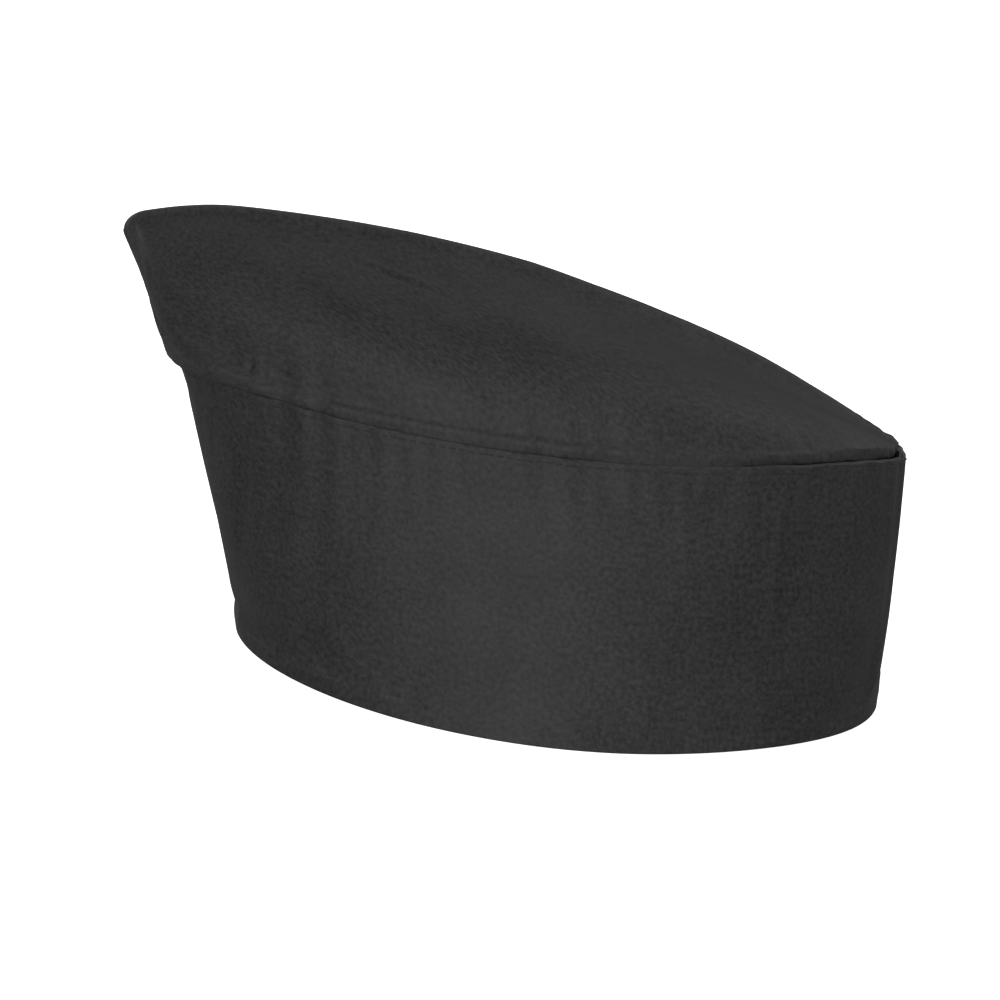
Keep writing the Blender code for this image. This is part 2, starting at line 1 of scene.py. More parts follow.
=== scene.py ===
import math

import bpy
import numpy as np
from mathutils import Matrix, Vector


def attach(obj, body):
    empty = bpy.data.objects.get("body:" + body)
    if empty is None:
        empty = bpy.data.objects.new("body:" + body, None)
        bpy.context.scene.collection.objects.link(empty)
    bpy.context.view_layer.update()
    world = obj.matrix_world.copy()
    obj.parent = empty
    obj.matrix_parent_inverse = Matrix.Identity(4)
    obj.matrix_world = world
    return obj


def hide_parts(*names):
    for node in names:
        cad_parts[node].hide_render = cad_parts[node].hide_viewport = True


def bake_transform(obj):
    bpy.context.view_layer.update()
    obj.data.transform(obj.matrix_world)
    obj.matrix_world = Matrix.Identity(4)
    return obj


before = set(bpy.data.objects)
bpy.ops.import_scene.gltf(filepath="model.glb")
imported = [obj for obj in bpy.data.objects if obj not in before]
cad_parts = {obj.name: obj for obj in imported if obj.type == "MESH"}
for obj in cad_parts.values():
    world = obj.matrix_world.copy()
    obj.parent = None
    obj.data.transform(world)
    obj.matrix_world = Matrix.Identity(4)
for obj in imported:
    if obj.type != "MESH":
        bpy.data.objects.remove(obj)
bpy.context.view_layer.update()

MM = 0.001
TAU = 2.0 * math.pi

# Sizes of the frame. Lengths are in metres. NARROW_FROM, TAIL_ROOT, SWEATBAND_TURN and
# LABEL_TURN are turns; FLARE_SETTLED, BACK_BEGINS and FRONT_SEAM_RUN are shares of a crown
# panel's seam from the front to the back; FRONT_CROWDING, BULGE, TUCK_LEAD, NO_ALLOWANCE and
# ALLOWANCE_TAPER are factors.
RIM_LENGTH = 0.2134
RIM_WIDTH = 0.1640
RIM_SQUARENESS = 1.9
SEAM_FRONT = 0.1340
SEAM_BACK = 0.1045
SEAM_WIDTH = 0.1200
BAND_HEIGHT = 0.0882
BACK_HEIGHT = 0.0850
NARROW_FROM = 0.42
CROWN_REACH = 0.1545
CORNER_HEIGHT = 0.1250
CORNER_ROUND = 0.0070
CROWN_HEIGHT = 0.1383
PEAK_REACH = 0.1150
HEEL_HEIGHT = 0.0025
RIDGE_SLOPE = math.radians(27)
FRONT_FLARE = math.radians(26)
SIDE_FLARE = math.radians(-4)
BACK_FLARE = math.radians(-53)
FLARE_SETTLED = 0.30
BACK_BEGINS = 0.57
FRONT_SEAM_RUN = 0.08
FRONT_CROWDING = 1.35
BULGE = 0.42
CLOTH = 0.5 * MM
GAP = 0.3 * MM
CHANNEL = 1.1 * MM
WALL = CLOTH + CHANNEL + CLOTH
TUCK = 4.9 * MM
TAIL_ROOT = 0.385
TAIL_LENGTH = 0.1130
TAIL_TOP_DROP = 0.0003
UNDERLAP_CLEARANCE = 0.0060
TUCK_RUN = 0.0260
TUCK_LEAD = 1.4
NO_ALLOWANCE = 1.6
ALLOWANCE_TAPER = 0.5
STRIP_CENTRE = 0.0420
HOOK_SIZE = (0.0420, 0.0250)
LOOP_SIZE = (0.0700, 0.0250)
HOOK_INSET = 0.0050
SEAM_ALLOWANCE = 0.0080
EDGE_RISE = 0.0012
SWEATBAND_HEIGHT = 0.0350
SWEATBAND_INSET = 0.0040
SWEATBAND_TURN = 0.31
TERRY = 1.2 * MM
TAPE_WIDTH = 0.0120
TAPE_INSET = 0.0120
LABEL_TURN = -0.265
LABEL_SIZE = (0.0320, 0.0450)
LABEL_TOP = 0.0800
TOPSTITCH = 0.0020
MIDDLE = (CROWN_REACH - RIM_LENGTH / 2) / 2


# ------------------------------------------------------------------ curves of the frame
def smooth(x):
    x = np.clip(x, 0.0, 1.0)
    return x * x * (3.0 - 2.0 * x)


def lerp(a, b, k):
    return a + (b - a) * k


def unit(v):
    return v / np.maximum(np.linalg.norm(v, axis=-1, keepdims=True), 1e-12)


def running(steps):
    """Distances from the start of a chain, from the lengths of its steps."""
    return np.concatenate([[0.0], np.cumsum(steps)])


def path_run(points):
    return running(np.linalg.norm(np.diff(points, axis=0), axis=-1))


def interpolated(place, run, points):
    """Points at places along a run, from the points known on it."""
    return np.stack([np.interp(place, run, points[:, a]) for a in range(points.shape[1])], -1)


def from_front(turn):
    """Turns away from the front centre, 0 to 0.5."""
    return np.abs((turn + 0.5) % 1.0 - 0.5)


def signed(turn):
    """The turn brought to the range -0.5 to 0.5."""
    return (turn + 0.5) % 1.0 - 0.5


class Oval:
    def __init__(self, length, width, middle, squareness):
        angle = np.linspace(0.0, TAU, 1441)
        c, s = np.cos(angle), np.sin(angle)
        self.x = width / 2 * np.sign(s) * np.abs(s) ** (2 / squareness)
        self.y = middle - length / 2 * np.sign(c) * np.abs(c) ** (2 / squareness)
        run = running(np.hypot(np.diff(self.x), np.diff(self.y)))
        self.girth = run[-1]
        self.share = run / run[-1]

    def at(self, turn):
        turn = np.asarray(turn) % 1.0
        return interpolated(turn, self.share, np.stack([self.x, self.y], -1))

    def outward(self, turn):
        turn = np.asarray(turn)
        along = self.at(turn + 0.002) - self.at(turn - 0.002)
        return unit(np.stack([along[..., 1], -along[..., 0]], -1))


RIM = Oval(RIM_LENGTH, RIM_WIDTH, MIDDLE, RIM_SQUARENESS)
SEAM = Oval(SEAM_BACK + SEAM_FRONT, SEAM_WIDTH, MIDDLE + (SEAM_BACK - SEAM_FRONT) / 2, 2.0)
GIRTH = RIM.girth
TAIL_END = TAIL_ROOT + TAIL_LENGTH / GIRTH
TUCK_TURNS = TUCK_RUN / GIRTH


def seam_height(turn):
    share = smooth((from_front(turn) - NARROW_FROM) / (0.5 - NARROW_FROM))
    slant = lerp(BAND_HEIGHT, BACK_HEIGHT, share)
    lean = np.linalg.norm(SEAM.at(turn) - RIM.at(turn), axis=-1)
    return np.sqrt(slant ** 2 - lean ** 2)


def wall(turn, slant, depth):
    """Points of the frame's band wall."""
    turn, slant, depth = np.broadcast_arrays(*map(np.asarray, (turn, slant, depth)))
    foot, head = RIM.at(turn), SEAM.at(turn)
    foot_out, head_out = RIM.outward(turn), SEAM.outward(turn)
    rise = seam_height(turn)
    lean = ((head - foot) * foot_out).sum(-1)
    level = (depth * np.hypot(lean, rise) / rise)[..., None]
    share = (slant / BAND_HEIGHT)[..., None]
    flat = lerp(foot - foot_out * level, head - head_out * level, share)
    return np.concatenate([flat, (rise[..., None] * share)], -1)


def band_tuck(turn):
    start = TAIL_END - 1.0 + TUCK_TURNS * TUCK_LEAD
    return TUCK * smooth((start - turn) / TUCK_TURNS)


def crown_tuck(turn):
    """How far the crown's seam steps inward: under the tail's root on the left, with the
    underlap on the right."""
    turn = np.asarray(turn)
    left = TUCK * smooth((turn - TAIL_ROOT + TUCK_TURNS) / (2 * TUCK_TURNS))
    return np.where(turn > 0, left, band_tuck(turn))


PUFF_TURNS = (-0.5, -0.46, -0.43, 0.43, 0.47, 0.5)
PUFF = (0.75, 0.45, 0.0, 1.0, 0.92, 0.75)


def crown_base(turn):
    """Where the crown's soft face leaves the seam. At the back, where the seam steps inward
    under the closure's tail, both panels puff out over it again."""
    tuck = crown_tuck(turn) * (1.0 - np.interp(turn, PUFF_TURNS, PUFF))
    return wall(turn, BAND_HEIGHT + EDGE_RISE, CLOTH + GAP + tuck)


def bezier(a, b, c, d, k):
    m = 1.0 - k
    return a * m ** 3 + b * (3 * m * m * k) + c * (3 * m * k * k) + d * k ** 3


def ridge_points():
    """The crown's ridge from the front corner to the heel, as (y, z)."""
    corner = np.array((MIDDLE - CROWN_REACH, CORNER_HEIGHT))
    peak = np.array((MIDDLE - PEAK_REACH, CROWN_HEIGHT))
    end = wall(0.5, BAND_HEIGHT + EDGE_RISE, CLOTH + GAP + TUCK)
    heel = np.array((end[1] - HEEL_HEIGHT, end[2] + HEEL_HEIGHT))
    shoulder = corner + np.array((0.80, 1.15)) * CORNER_ROUND
    climb = peak - shoulder
    run, fall = heel[0] - peak[0], peak[1] - heel[1]
    spans = ((corner, corner + np.array((-0.10, 0.60)) * CORNER_ROUND,
              shoulder - np.array((0.50, 0.20)) * CORNER_ROUND, shoulder, 10),
             (shoulder, shoulder + climb * (0.30, 0.55), peak - climb * (0.45, 0.0), peak, 20),
             (peak, peak + np.array((run * 0.40, 0.0)),
              heel + np.array((-0.22 * run, 0.65 * fall)), heel, 90))
    rows = [bezier(a, b, c, d, np.arange(n)[:, None] / n) for a, b, c, d, n in spans]
    return np.concatenate(rows + [heel[None]])


RIDGE = ridge_points()
RIDGE_RUN = path_run(RIDGE)


def ridge_at(share):
    distance = np.clip(share, 0.0, 1.0) * RIDGE_RUN[-1]
    return interpolated(distance, RIDGE_RUN, RIDGE)


def crown_surface(share, row, side):
    """A crown panel's outer face before any softness, on the left; side is +1 or -1."""
    share, row = np.broadcast_arrays(share, row)
    base = crown_base(share / 2 * side)
    base[..., 0] *= side
    along = share ** FRONT_CROWDING
    flat = ridge_at(along)
    top = np.concatenate([np.zeros_like(flat[..., :1]), flat], -1)
    length = np.linalg.norm(top - base, axis=-1, keepdims=True)
    out = SEAM.outward(share / 2)
    flare = lerp(FRONT_FLARE, SIDE_FLARE, smooth(share / FLARE_SETTLED))
    flare = lerp(flare, BACK_FLARE, smooth((share - BACK_BEGINS) / (1.0 - BACK_BEGINS)))
    leave = np.stack([out[..., 0] * np.sin(flare), out[..., 1] * np.sin(flare),
                      np.cos(flare)], -1)
    way = unit(ridge_at(along + 0.01) - ridge_at(along - 0.01))
    slope = math.sin(RIDGE_SLOPE)
    aside = np.stack([np.full(share.shape, math.cos(RIDGE_SLOPE)), way[..., 1] * slope,
                      -way[..., 0] * slope], -1)
    down = unit(crown_base(0.0) - np.array((0.0, MIDDLE - CROWN_REACH, CORNER_HEIGHT)))
    down[0] = 0.0
    arrive = unit(lerp(down, aside, smooth(share / FRONT_SEAM_RUN)[..., None]))
    point = bezier(base, base + leave * length * BULGE, top + arrive * length * BULGE, top,
                   row[..., None])
    point[..., 0] = np.maximum(point[..., 0], 0.0)
    return point


# ------------------------------------------------------------------ softness of the cloth
def ripple(u, v, shortest, longest, seed, count):
    """A smooth random field of about unit size over metres u and v."""
    random = np.random.default_rng(seed)
    total = 0.0
    for _ in range(count):
        wave = shortest * (longest / shortest) ** random.random()
        angle = random.uniform(-1.5, 1.5)
        phase = random.uniform(0.0, TAU)
        total = total + np.sin(TAU / wave * (u * math.cos(angle) + v * math.sin(angle)) + phase)
    return total / math.sqrt(count / 2.0)


def bump_at(x, centre, half):
    """One at the centre, nothing beyond half a width away."""
    return smooth(1.0 - np.abs(x - centre) / half)


def crease(across, along, path, half, depth):
    """A soft valley with raised lips along a path of (across, along) points, fading towards
    both of its ends; all but the depth in millimetres."""
    nearest = np.full(np.broadcast(across, along).shape, np.inf)
    shape = np.zeros_like(nearest)
    runs = path_run(path)
    for k in range(len(path) - 1):
        (ax, ay), (bx, by) = path[k], path[k + 1]
        length = runs[k + 1] - runs[k]
        share = ((across - ax) * (bx - ax) + (along - ay) * (by - ay)) / length ** 2
        held = np.clip(share, 0.0, 1.0)
        away = np.hypot(across - ax - held * (bx - ax), along - ay - held * (by - ay))
        place = (runs[k] + held * length) / runs[-1]
        fade = np.sin(math.pi * (0.12 + 0.76 * place)) ** 1.5
        lips = 0.45 * np.exp(-((away - 1.9 * half) / half) ** 2)
        valley = fade * (-np.exp(-(away / half) ** 2) + lips)
        shape = np.where(away < nearest, valley, shape)
        nearest = np.minimum(nearest, away)
    return depth * shape


# Single creases: a path of points, half its width in millimetres, its depth in millimetres.
# A point is a place round the piece and millimetres from the seam, up the crown or down the
# band. The place is a share of the seam from the front to the back on a crown panel, whose
# seam is CROWN_SPAN millimetres long, and a turn on the band.
CROWN_SPAN = 290.0
LEFT_CREASES = (
    (((0.391, 74.5), (0.410, 71.5), (0.432, 69.5), (0.465, 66.0), (0.497, 62.0)), 1.5, 0.60),
    (((0.288, 72.5), (0.302, 73.6), (0.326, 74.6)), 1.3, 0.26),
    (((0.362, 78.2), (0.373, 80.3), (0.384, 79.0)), 1.1, 0.24),
    (((0.174, 1.5), (0.177, 7.0), (0.181, 14.0)), 1.1, 0.75),
    (((0.196, 10.5), (0.210, 8.4), (0.228, 5.6)), 1.3, 0.50),
    (((0.520, 2.5), (0.532, 5.0), (0.550, 6.5)), 1.2, 0.28),
    (((0.805, 2.5), (0.800, 6.0), (0.792, 11.0)), 1.2, 0.30),
    (((0.872, 2.0), (0.866, 5.0), (0.852, 10.0)), 1.3, 0.34),
    (((0.700, 44.0), (0.735, 52.0), (0.760, 60.0)), 3.2, 0.40),
    (((0.560, 30.0), (0.610, 26.0), (0.680, 25.0)), 4.0, 0.36))
RIGHT_CREASES = (
    (((0.300, 60.0), (0.350, 64.0), (0.410, 63.0)), 2.2, 0.40),
    (((0.180, 3.0), (0.184, 9.0), (0.176, 16.0)), 1.2, 0.42),
    (((0.520, 2.5), (0.512, 6.0), (0.500, 11.0)), 1.3, 0.34),
    (((0.640, 40.0), (0.700, 46.0), (0.760, 58.0)), 3.4, 0.42),
    (((0.860, 2.0), (0.850, 7.0), (0.846, 13.0)), 1.4, 0.36))
BAND_CREASES = (
    (((0.0975, 6.5), (0.1005, 9.5), (0.110, 15.0)), 1.4, 0.46),
    (((0.1115, 5.0), (0.1155, 7.5), (0.1235, 10.5)), 1.3, 0.46),
    (((0.262, 3.0), (0.2655, 7.0), (0.272, 12.0)), 1.6, 0.62),
    (((0.388, 2.0), (0.390, 8.0), (0.388, 15.0)), 1.5, 0.26),
    (((0.432, 2.0), (0.435, 7.0), (0.439, 12.0)), 1.5, 0.28),
    (((0.355, 30.0), (0.372, 46.0), (0.392, 66.0)), 7.0, 0.42))


def creased(bow, table, span, across, along):
    """The bow with a table's creases worked in; span is the length that its places share."""
    for path, half, depth in table:
        bow = bow + crease(across, along, np.array(path) * (span, 1.0), half, depth * MM)
    return bow


def circled(turn):
    """The turn as metres on a circle as long as the rim, so that a ripple closes on itself."""
    angle = np.asarray(turn) * TAU
    return np.cos(angle) * GIRTH / TAU, np.sin(angle) * GIRTH / TAU


PUCKER_TURNS = (-0.5, -0.42, -0.36, -0.30, -0.24, -0.16, -0.07, 0.0, 0.05, 0.09, 0.16, 0.20,
                0.235, 0.265, 0.29, 0.33, 0.37, 0.41, 0.46, 0.5)
PUCKER_SIZE = (0.26, 0.22, 0.10, 0.12, 0.20, 0.24, 0.20, 0.10, 0.18, 0.34, 0.24, 0.14,
               0.26, 0.42, 0.22, 0.10, 0.12, 0.30, 0.34, 0.26)


def pucker(turn):
    """Small gathers where the crown is sewn to the band, in metres."""
    size = np.interp(signed(turn), PUCKER_TURNS, PUCKER_SIZE) * MM
    return size * ripple(*circled(turn), 7 * MM, 20 * MM, 11, 16)


SEAM_RISE_TURNS = (0.0, 0.02, 0.04, 0.06, 0.075, 0.09, 0.105, 0.12, 0.14, 0.16)
SEAM_RISE = (4.6, 3.9, 3.0, 2.3, 1.9, 1.6, 1.25, 0.75, 0.2, 0.0)
HOLLOW_HEIGHTS = (0.0, 0.2, 0.44, 0.67, 0.9, 0.95, 1.0)
HOLLOW = (0.0, 2.1, 2.8, 2.5, 2.0, 1.5, 0.3)
SIM = {}  # the simulated sag of the band, once it is known


def sample(field, across, along, closed=False):
    """Bilinear look-up in a field by shares of its two sides; a closed one is a ring."""
    rows, columns = field.shape[:2]
    a = across % 1.0 * rows if closed else np.clip(across, 0.0, 1.0) * (rows - 1)
    b = np.clip(along, 0.0, 1.0) * (columns - 1)
    i = np.minimum(a.astype(int), rows - (1 if closed else 2))
    j = np.minimum(b.astype(int), columns - 2)
    fa, fb, k = a - i, b - j, (i + 1) % rows
    if field.ndim == 3:
        fa, fb = fa[..., None], fb[..., None]
    return ((field[i, j] * (1 - fa) + field[k, j] * fa) * (1 - fb)
            + (field[i, j + 1] * (1 - fa) + field[k, j + 1] * fa) * fb)


def sway(turn, slant):
    """How far the standing band bows out of its flat wall, in metres."""
    place = signed(turn)
    height = np.clip(slant / BAND_HEIGHT, 0.0, 1.0)
    bow = -np.interp(height, HOLLOW_HEIGHTS, HOLLOW) * np.exp(-(place / 0.075) ** 2)
    bow = bow + 1.8 * bump_at(np.abs(place), 0.18, 0.15) * (1.0 - height) ** 2
    bow = bow + 0.9 * np.exp(-((0.5 - np.abs(place)) / 0.07) ** 2) * (0.7 - 2.0 * height ** 6)
    x, y = circled(turn)
    slow = ripple(x, y + slant * 0.6, 60 * MM, 150 * MM, 5, 12)
    bow = bow + 0.40 * slow * np.sin(math.pi * height) ** 0.8
    calm = 1.0 - 0.85 * bump_at(place, LABEL_TURN, 0.05) * smooth((height - 0.3) / 0.3)
    drop = np.maximum(BAND_HEIGHT - slant, 0.0)
    gather = pucker(turn) * np.exp(-drop / (11 * MM)) * smooth(drop / (1.5 * MM) + 0.35)
    bow = bow * calm * MM + gather * calm
    bow = creased(bow, BAND_CREASES, GIRTH / MM, place * GIRTH / MM, drop / MM)
    if "band" in SIM:
        bow = bow + sample(SIM["band"], np.asarray(turn), height, closed=True) * calm
    return bow


def lift(turn, slant):
    """How far the rim stands off the ground between the places it rests on, and how far the
    seam is pulled up at the front."""
    place = signed(turn)
    height = np.clip(slant / BAND_HEIGHT, 0.0, 1.0)
    up = 0.75 * bump_at(place, 0.375, 0.10) + 0.35 * bump_at(place, -0.33, 0.11)
    rise = np.interp(np.abs(place), SEAM_RISE_TURNS, SEAM_RISE)
    return (up * (1.0 - height) ** 2 + rise * height ** 4) * MM


def shell(turn, slant, depth):
    """Points of the soft band wall."""
    turn, slant, depth = np.broadcast_arrays(*map(np.asarray, (turn, slant, depth)))
    point = wall(turn, slant, depth)
    share = np.clip(slant / BAND_HEIGHT, 0.0, 1.0)[..., None]
    out = unit(lerp(RIM.outward(turn), SEAM.outward(turn), share))
    point[..., :2] += out * sway(turn, slant)[..., None]
    point[..., 2] += lift(turn, slant)
    return point


DRAPE_FRAMES = 24
DRAPE_GRAVITY = 0.35
BAND_SAG = 0.9 * MM
CROWN_SAG = 1.3 * MM
CLOTH_SETTINGS = {"quality": 6, "mass": 0.12, "tension_stiffness": 12.0,
                  "compression_stiffness": 12.0, "shear_stiffness": 4.0,
                  "bending_stiffness": 0.35, "tension_damping": 8.0,
                  "compression_damping": 8.0, "bending_damping": 0.6}


def run_cloth(name, points, closed, pinned, shrink, pressure):
    """Lets a coarse sheet of cloth settle and gives back how far each point moved. pinned is
    how firmly a point is held, a negative shrink makes the sheet too large for its edges and
    the pressure blows it up."""
    rows, columns = points.shape[:2]
    spans = rows if closed else rows - 1
    faces = [(i * columns + j, ((i + 1) % rows) * columns + j,
              ((i + 1) % rows) * columns + j + 1, i * columns + j + 1)
             for i in range(spans) for j in range(columns - 1)]
    mesh = bpy.data.meshes.new(name)
    mesh.from_pydata(points.reshape(-1, 3).tolist(), [], faces)
    sheet = bpy.data.objects.new(name, mesh)
    bpy.context.scene.collection.objects.link(sheet)
    group = sheet.vertex_groups.new(name="pin")
    pinned = pinned.reshape(-1)
    for index in np.flatnonzero(pinned > 0.0):
        group.add([int(index)], float(pinned[index]), "REPLACE")
    cloth = sheet.modifiers.new("cloth", "CLOTH")
    cloth.settings.vertex_group_mass = "pin"
    settings = dict(CLOTH_SETTINGS, shrink_min=shrink, use_pressure=True,
                    uniform_pressure_force=pressure)
    for key, value in settings.items():
        setattr(cloth.settings, key, value)
    cloth.settings.effector_weights.gravity = DRAPE_GRAVITY
    cloth.collision_settings.use_collision = False
    scene = bpy.context.scene
    for step in range(1, DRAPE_FRAMES + 1):
        scene.frame_set(step)
    graph = bpy.context.evaluated_depsgraph_get()
    settled = sheet.evaluated_get(graph).to_mesh()
    moved = np.empty(len(settled.vertices) * 3)
    settled.vertices.foreach_get("co", moved)
    sheet.evaluated_get(graph).to_mesh_clear()
    bpy.data.objects.remove(sheet, do_unlink=True)
    bpy.data.meshes.remove(mesh)
    scene.frame_set(1)
    return moved.reshape(points.shape) - points


def simulate_band():
    """The band's outer layer, held along the rim and the seam, a little too long for them."""
    turns = np.arange(236) / 236
    slants = np.linspace(0.0, BAND_HEIGHT, 36)
    points = shell(turns[:, None], slants[None], 0.0)
    pinned = np.zeros(points.shape[:2])
    pinned[:, (0, -1)] = 1.0
    pinned[:, (1, -2)] = 0.6
    moved = run_cloth("band_drape", points, True, pinned, shrink=-0.006, pressure=0.25)
    out = unit(lerp(RIM.outward(turns)[:, None], SEAM.outward(turns)[:, None],
                    (slants / BAND_HEIGHT)[None, :, None]))
    bow = (moved[..., :2] * out).sum(-1)
    return BAND_SAG * np.tanh(bow / BAND_SAG)


SIM["band"] = simulate_band()


# ------------------------------------------------------------------ mesh building
def mesh_object(name, points, faces, uvs, wear, coat):
    mesh = bpy.data.meshes.new(name)
    mesh.from_pydata(np.asarray(points).tolist(), [], faces)
    layer = mesh.uv_layers.new(name="cloth")
    layer.data.foreach_set("uv", np.asarray(uvs, np.float32).reshape(-1))
    if wear is not None:
        attribute = mesh.attributes.new("wear", "FLOAT", "POINT")
        attribute.data.foreach_set("value", np.asarray(wear, np.float32).reshape(-1))
    mesh.materials.append(coat)
    mesh.shade_smooth()
    mesh.set_sharp_from_angle(angle=math.radians(50))
    made = bpy.data.objects.new(name, mesh)
    bpy.context.scene.collection.objects.link(made)
    return made


def quad_uvs(*corners):
    """UVs of a grid of quads from the (u, v) of its four corners, in order."""
    return np.stack([np.stack(corner, -1) for corner in corners], -2)


def zipper(ring, tips):
    """Triangles that close a thin ring of points between its two tips."""
    count = len(ring)
    ahead = [(tips[0] + i) % count for i in range((tips[1] - tips[0]) % count + 1)]
    behind = [(tips[0] - i) % count for i in range((tips[0] - tips[1]) % count + 1)]
    chains = []
    for chain in (ahead, behind):
        run = path_run(ring[chain])
        chains.append((chain, run / run[-1]))
    (one, far), (two, wide) = chains
    i = j = 0
    faces = []
    while i < len(one) - 1 or j < len(two) - 1:
        if j == len(two) - 1 or (i < len(one) - 1 and far[i + 1] <= wide[j + 1]):
            face = (one[i], one[i + 1], two[j])
            i += 1
        else:
            face = (one[i], two[j + 1], two[j])
            j += 1
        if len(set(face)) == 3:
            faces.append(face)
    return faces


def tube(name, grid, coat, wear=None, u=None, v=None, tips=None):
    """A solid swept from closed sections: grid is (stations, points round, 3). UVs are in
    metres: u along the sweep and v round the section. tips are the section's two ends."""
    grid = np.asarray(grid)
    count, around = grid.shape[:2]
    volume = np.einsum("ijk,ijk->", grid[:-1], np.cross(grid[1:], np.roll(grid, -1, 1)[:-1]))
    if wear is None:
        wear = np.zeros((count, around))
    wear = np.broadcast_to(wear, (count, around))
    if u is None:
        u = running(np.linalg.norm(np.diff(grid, axis=0), axis=-1).mean(1))
    if v is None:
        v = running(np.linalg.norm(np.roll(grid, -1, 1) - grid, axis=-1).mean(0))
    i, j = np.meshgrid(np.arange(count - 1), np.arange(around), indexing="ij")
    k = (j + 1) % around
    faces = np.stack([i * around + j, (i + 1) * around + j, (i + 1) * around + k,
                      i * around + k], -1)
    uvs = quad_uvs((u[i], v[j]), (u[i + 1], v[j]), (u[i + 1], v[j + 1]), (u[i], v[j + 1]))
    if volume < 0:
        faces, uvs = faces[..., ::-1], uvs[:, :, ::-1]
    faces = faces.reshape(-1, 4).tolist()
    uvs = uvs.reshape(-1, 2).tolist()
    for end in (0, count - 1):
        lid = zipper(grid[end], tips or (0, around // 2))
        corners = grid[end][np.array(lid)]
        area = np.cross(corners[:, 1] - corners[:, 0], corners[:, 2] - corners[:, 0]).sum(0)
        way = grid[-2 if end else 1].mean(0) - grid[end].mean(0)
        for face in lid:
            face = [end * around + index for index in face]
            faces.append(face if area @ way < 0 else face[::-1])
            uvs += [[0.0, 0.0], [0.0, CLOTH], [CLOTH, CLOTH]]
    return mesh_object(name, grid.reshape(-1, 3), faces, uvs, wear, coat)


def spaced(first, last, step):
    return np.linspace(first, last, max(2, int(round(abs(last - first) / step)) + 1))


def join_meshes(name, parts):
    """One object from several, keeping their materials."""
    home = parts[0]
    with bpy.context.temp_override(active_object=home, object=home,
                                   selected_editable_objects=parts, selected_objects=parts):
        bpy.ops.object.join()
    home.name = name
    home.data.name = name
    return home


FIBRE_UV = 0.4 * MM


def fibres(name, paths, radius, coat, sides=6):
    """Many short round strands in one mesh. paths is (strands, points, 3)."""
    paths = np.asarray(paths)
    strands, knots = paths.shape[:2]
    along = unit(np.gradient(paths, axis=1))
    guide = np.zeros_like(along)
    guide[..., 2] = 1.0
    steep = np.abs(along[..., 2]).max(1) > 0.9
    guide[steep] = (0.6, 0.8, 0.0)
    one = unit(np.cross(along, guide))
    two = np.cross(along, one)
    taper = np.ones(knots)
    taper[[0, -1]] = 0.6
    radius = radius * taper[None, :, None, None]
    turn = np.arange(sides) / sides * TAU
    ring = (one[:, :, None] * np.cos(turn)[None, None, :, None]
            + two[:, :, None] * np.sin(turn)[None, None, :, None])
    points = paths[:, :, None] + ring * radius
    s, i, j = np.meshgrid(np.arange(strands), np.arange(knots - 1), np.arange(sides),
                          indexing="ij")
    k = (j + 1) % sides
    base = s * knots * sides
    faces = np.stack([base + i * sides + j, base + i * sides + k,
                      base + (i + 1) * sides + k, base + (i + 1) * sides + j], -1)
    faces = faces.reshape(-1, 4).tolist()
    u, v = i * FIBRE_UV, j * FIBRE_UV
    far_u, far_v = (i + 1) * FIBRE_UV, (j + 1) * FIBRE_UV
    uvs = quad_uvs((u, v), (u, far_v), (far_u, far_v), (far_u, v)).reshape(-1, 2).tolist()
    for strand in range(strands):
        base = strand * knots * sides
        faces.append([base + q for q in range(sides)][::-1])
        faces.append([base + (knots - 1) * sides + q for q in range(sides)])
        uvs += [[0.0, 0.0]] * (2 * sides)
    return mesh_object(name, points.reshape(-1, 3), faces, uvs, None, coat)


def stitch_paths(path, normal, pitch=3.0 * MM, length=2.35 * MM, radius=0.2 * MM, jitter=7):
    """Stitches along a dense path on the cloth: each rises from the cloth and dips back."""
    run = path_run(path)
    count = int(run[-1] / pitch)
    random = np.random.default_rng(jitter)
    starts = (np.arange(count) + 0.15) * run[-1] / count + random.uniform(-0.1, 0.1, count) * MM
    k = np.linspace(0.0, 1.0, 7)
    places = starts[:, None] + k[None] * length * random.uniform(0.94, 1.06, count)[:, None]
    places = np.clip(places, 0.0, run[-1])
    spot = interpolated(places, run, path)
    out = unit(interpolated(places, run, normal))
    arch = (-0.9 + 1.55 * np.sin(math.pi * k) ** 0.5) * radius
    side = np.cross(out, unit(np.gradient(spot, axis=1)))
    lean = random.uniform(-0.12, 0.12, (count, 1, 1)) * MM * (2 * k - 1)[None, :, None]
    return spot + out * arch[None, :, None] + side * lean


def wall_normal(turn, slant):
    """The soft wall's outward unit normal."""
    d = 1.0 * MM
    along = shell(turn + d / GIRTH, slant, 0.0) - shell(turn - d / GIRTH, slant, 0.0)
    across = shell(turn, slant + d, 0.0) - shell(turn, slant - d, 0.0)
    return unit(np.cross(along, across))


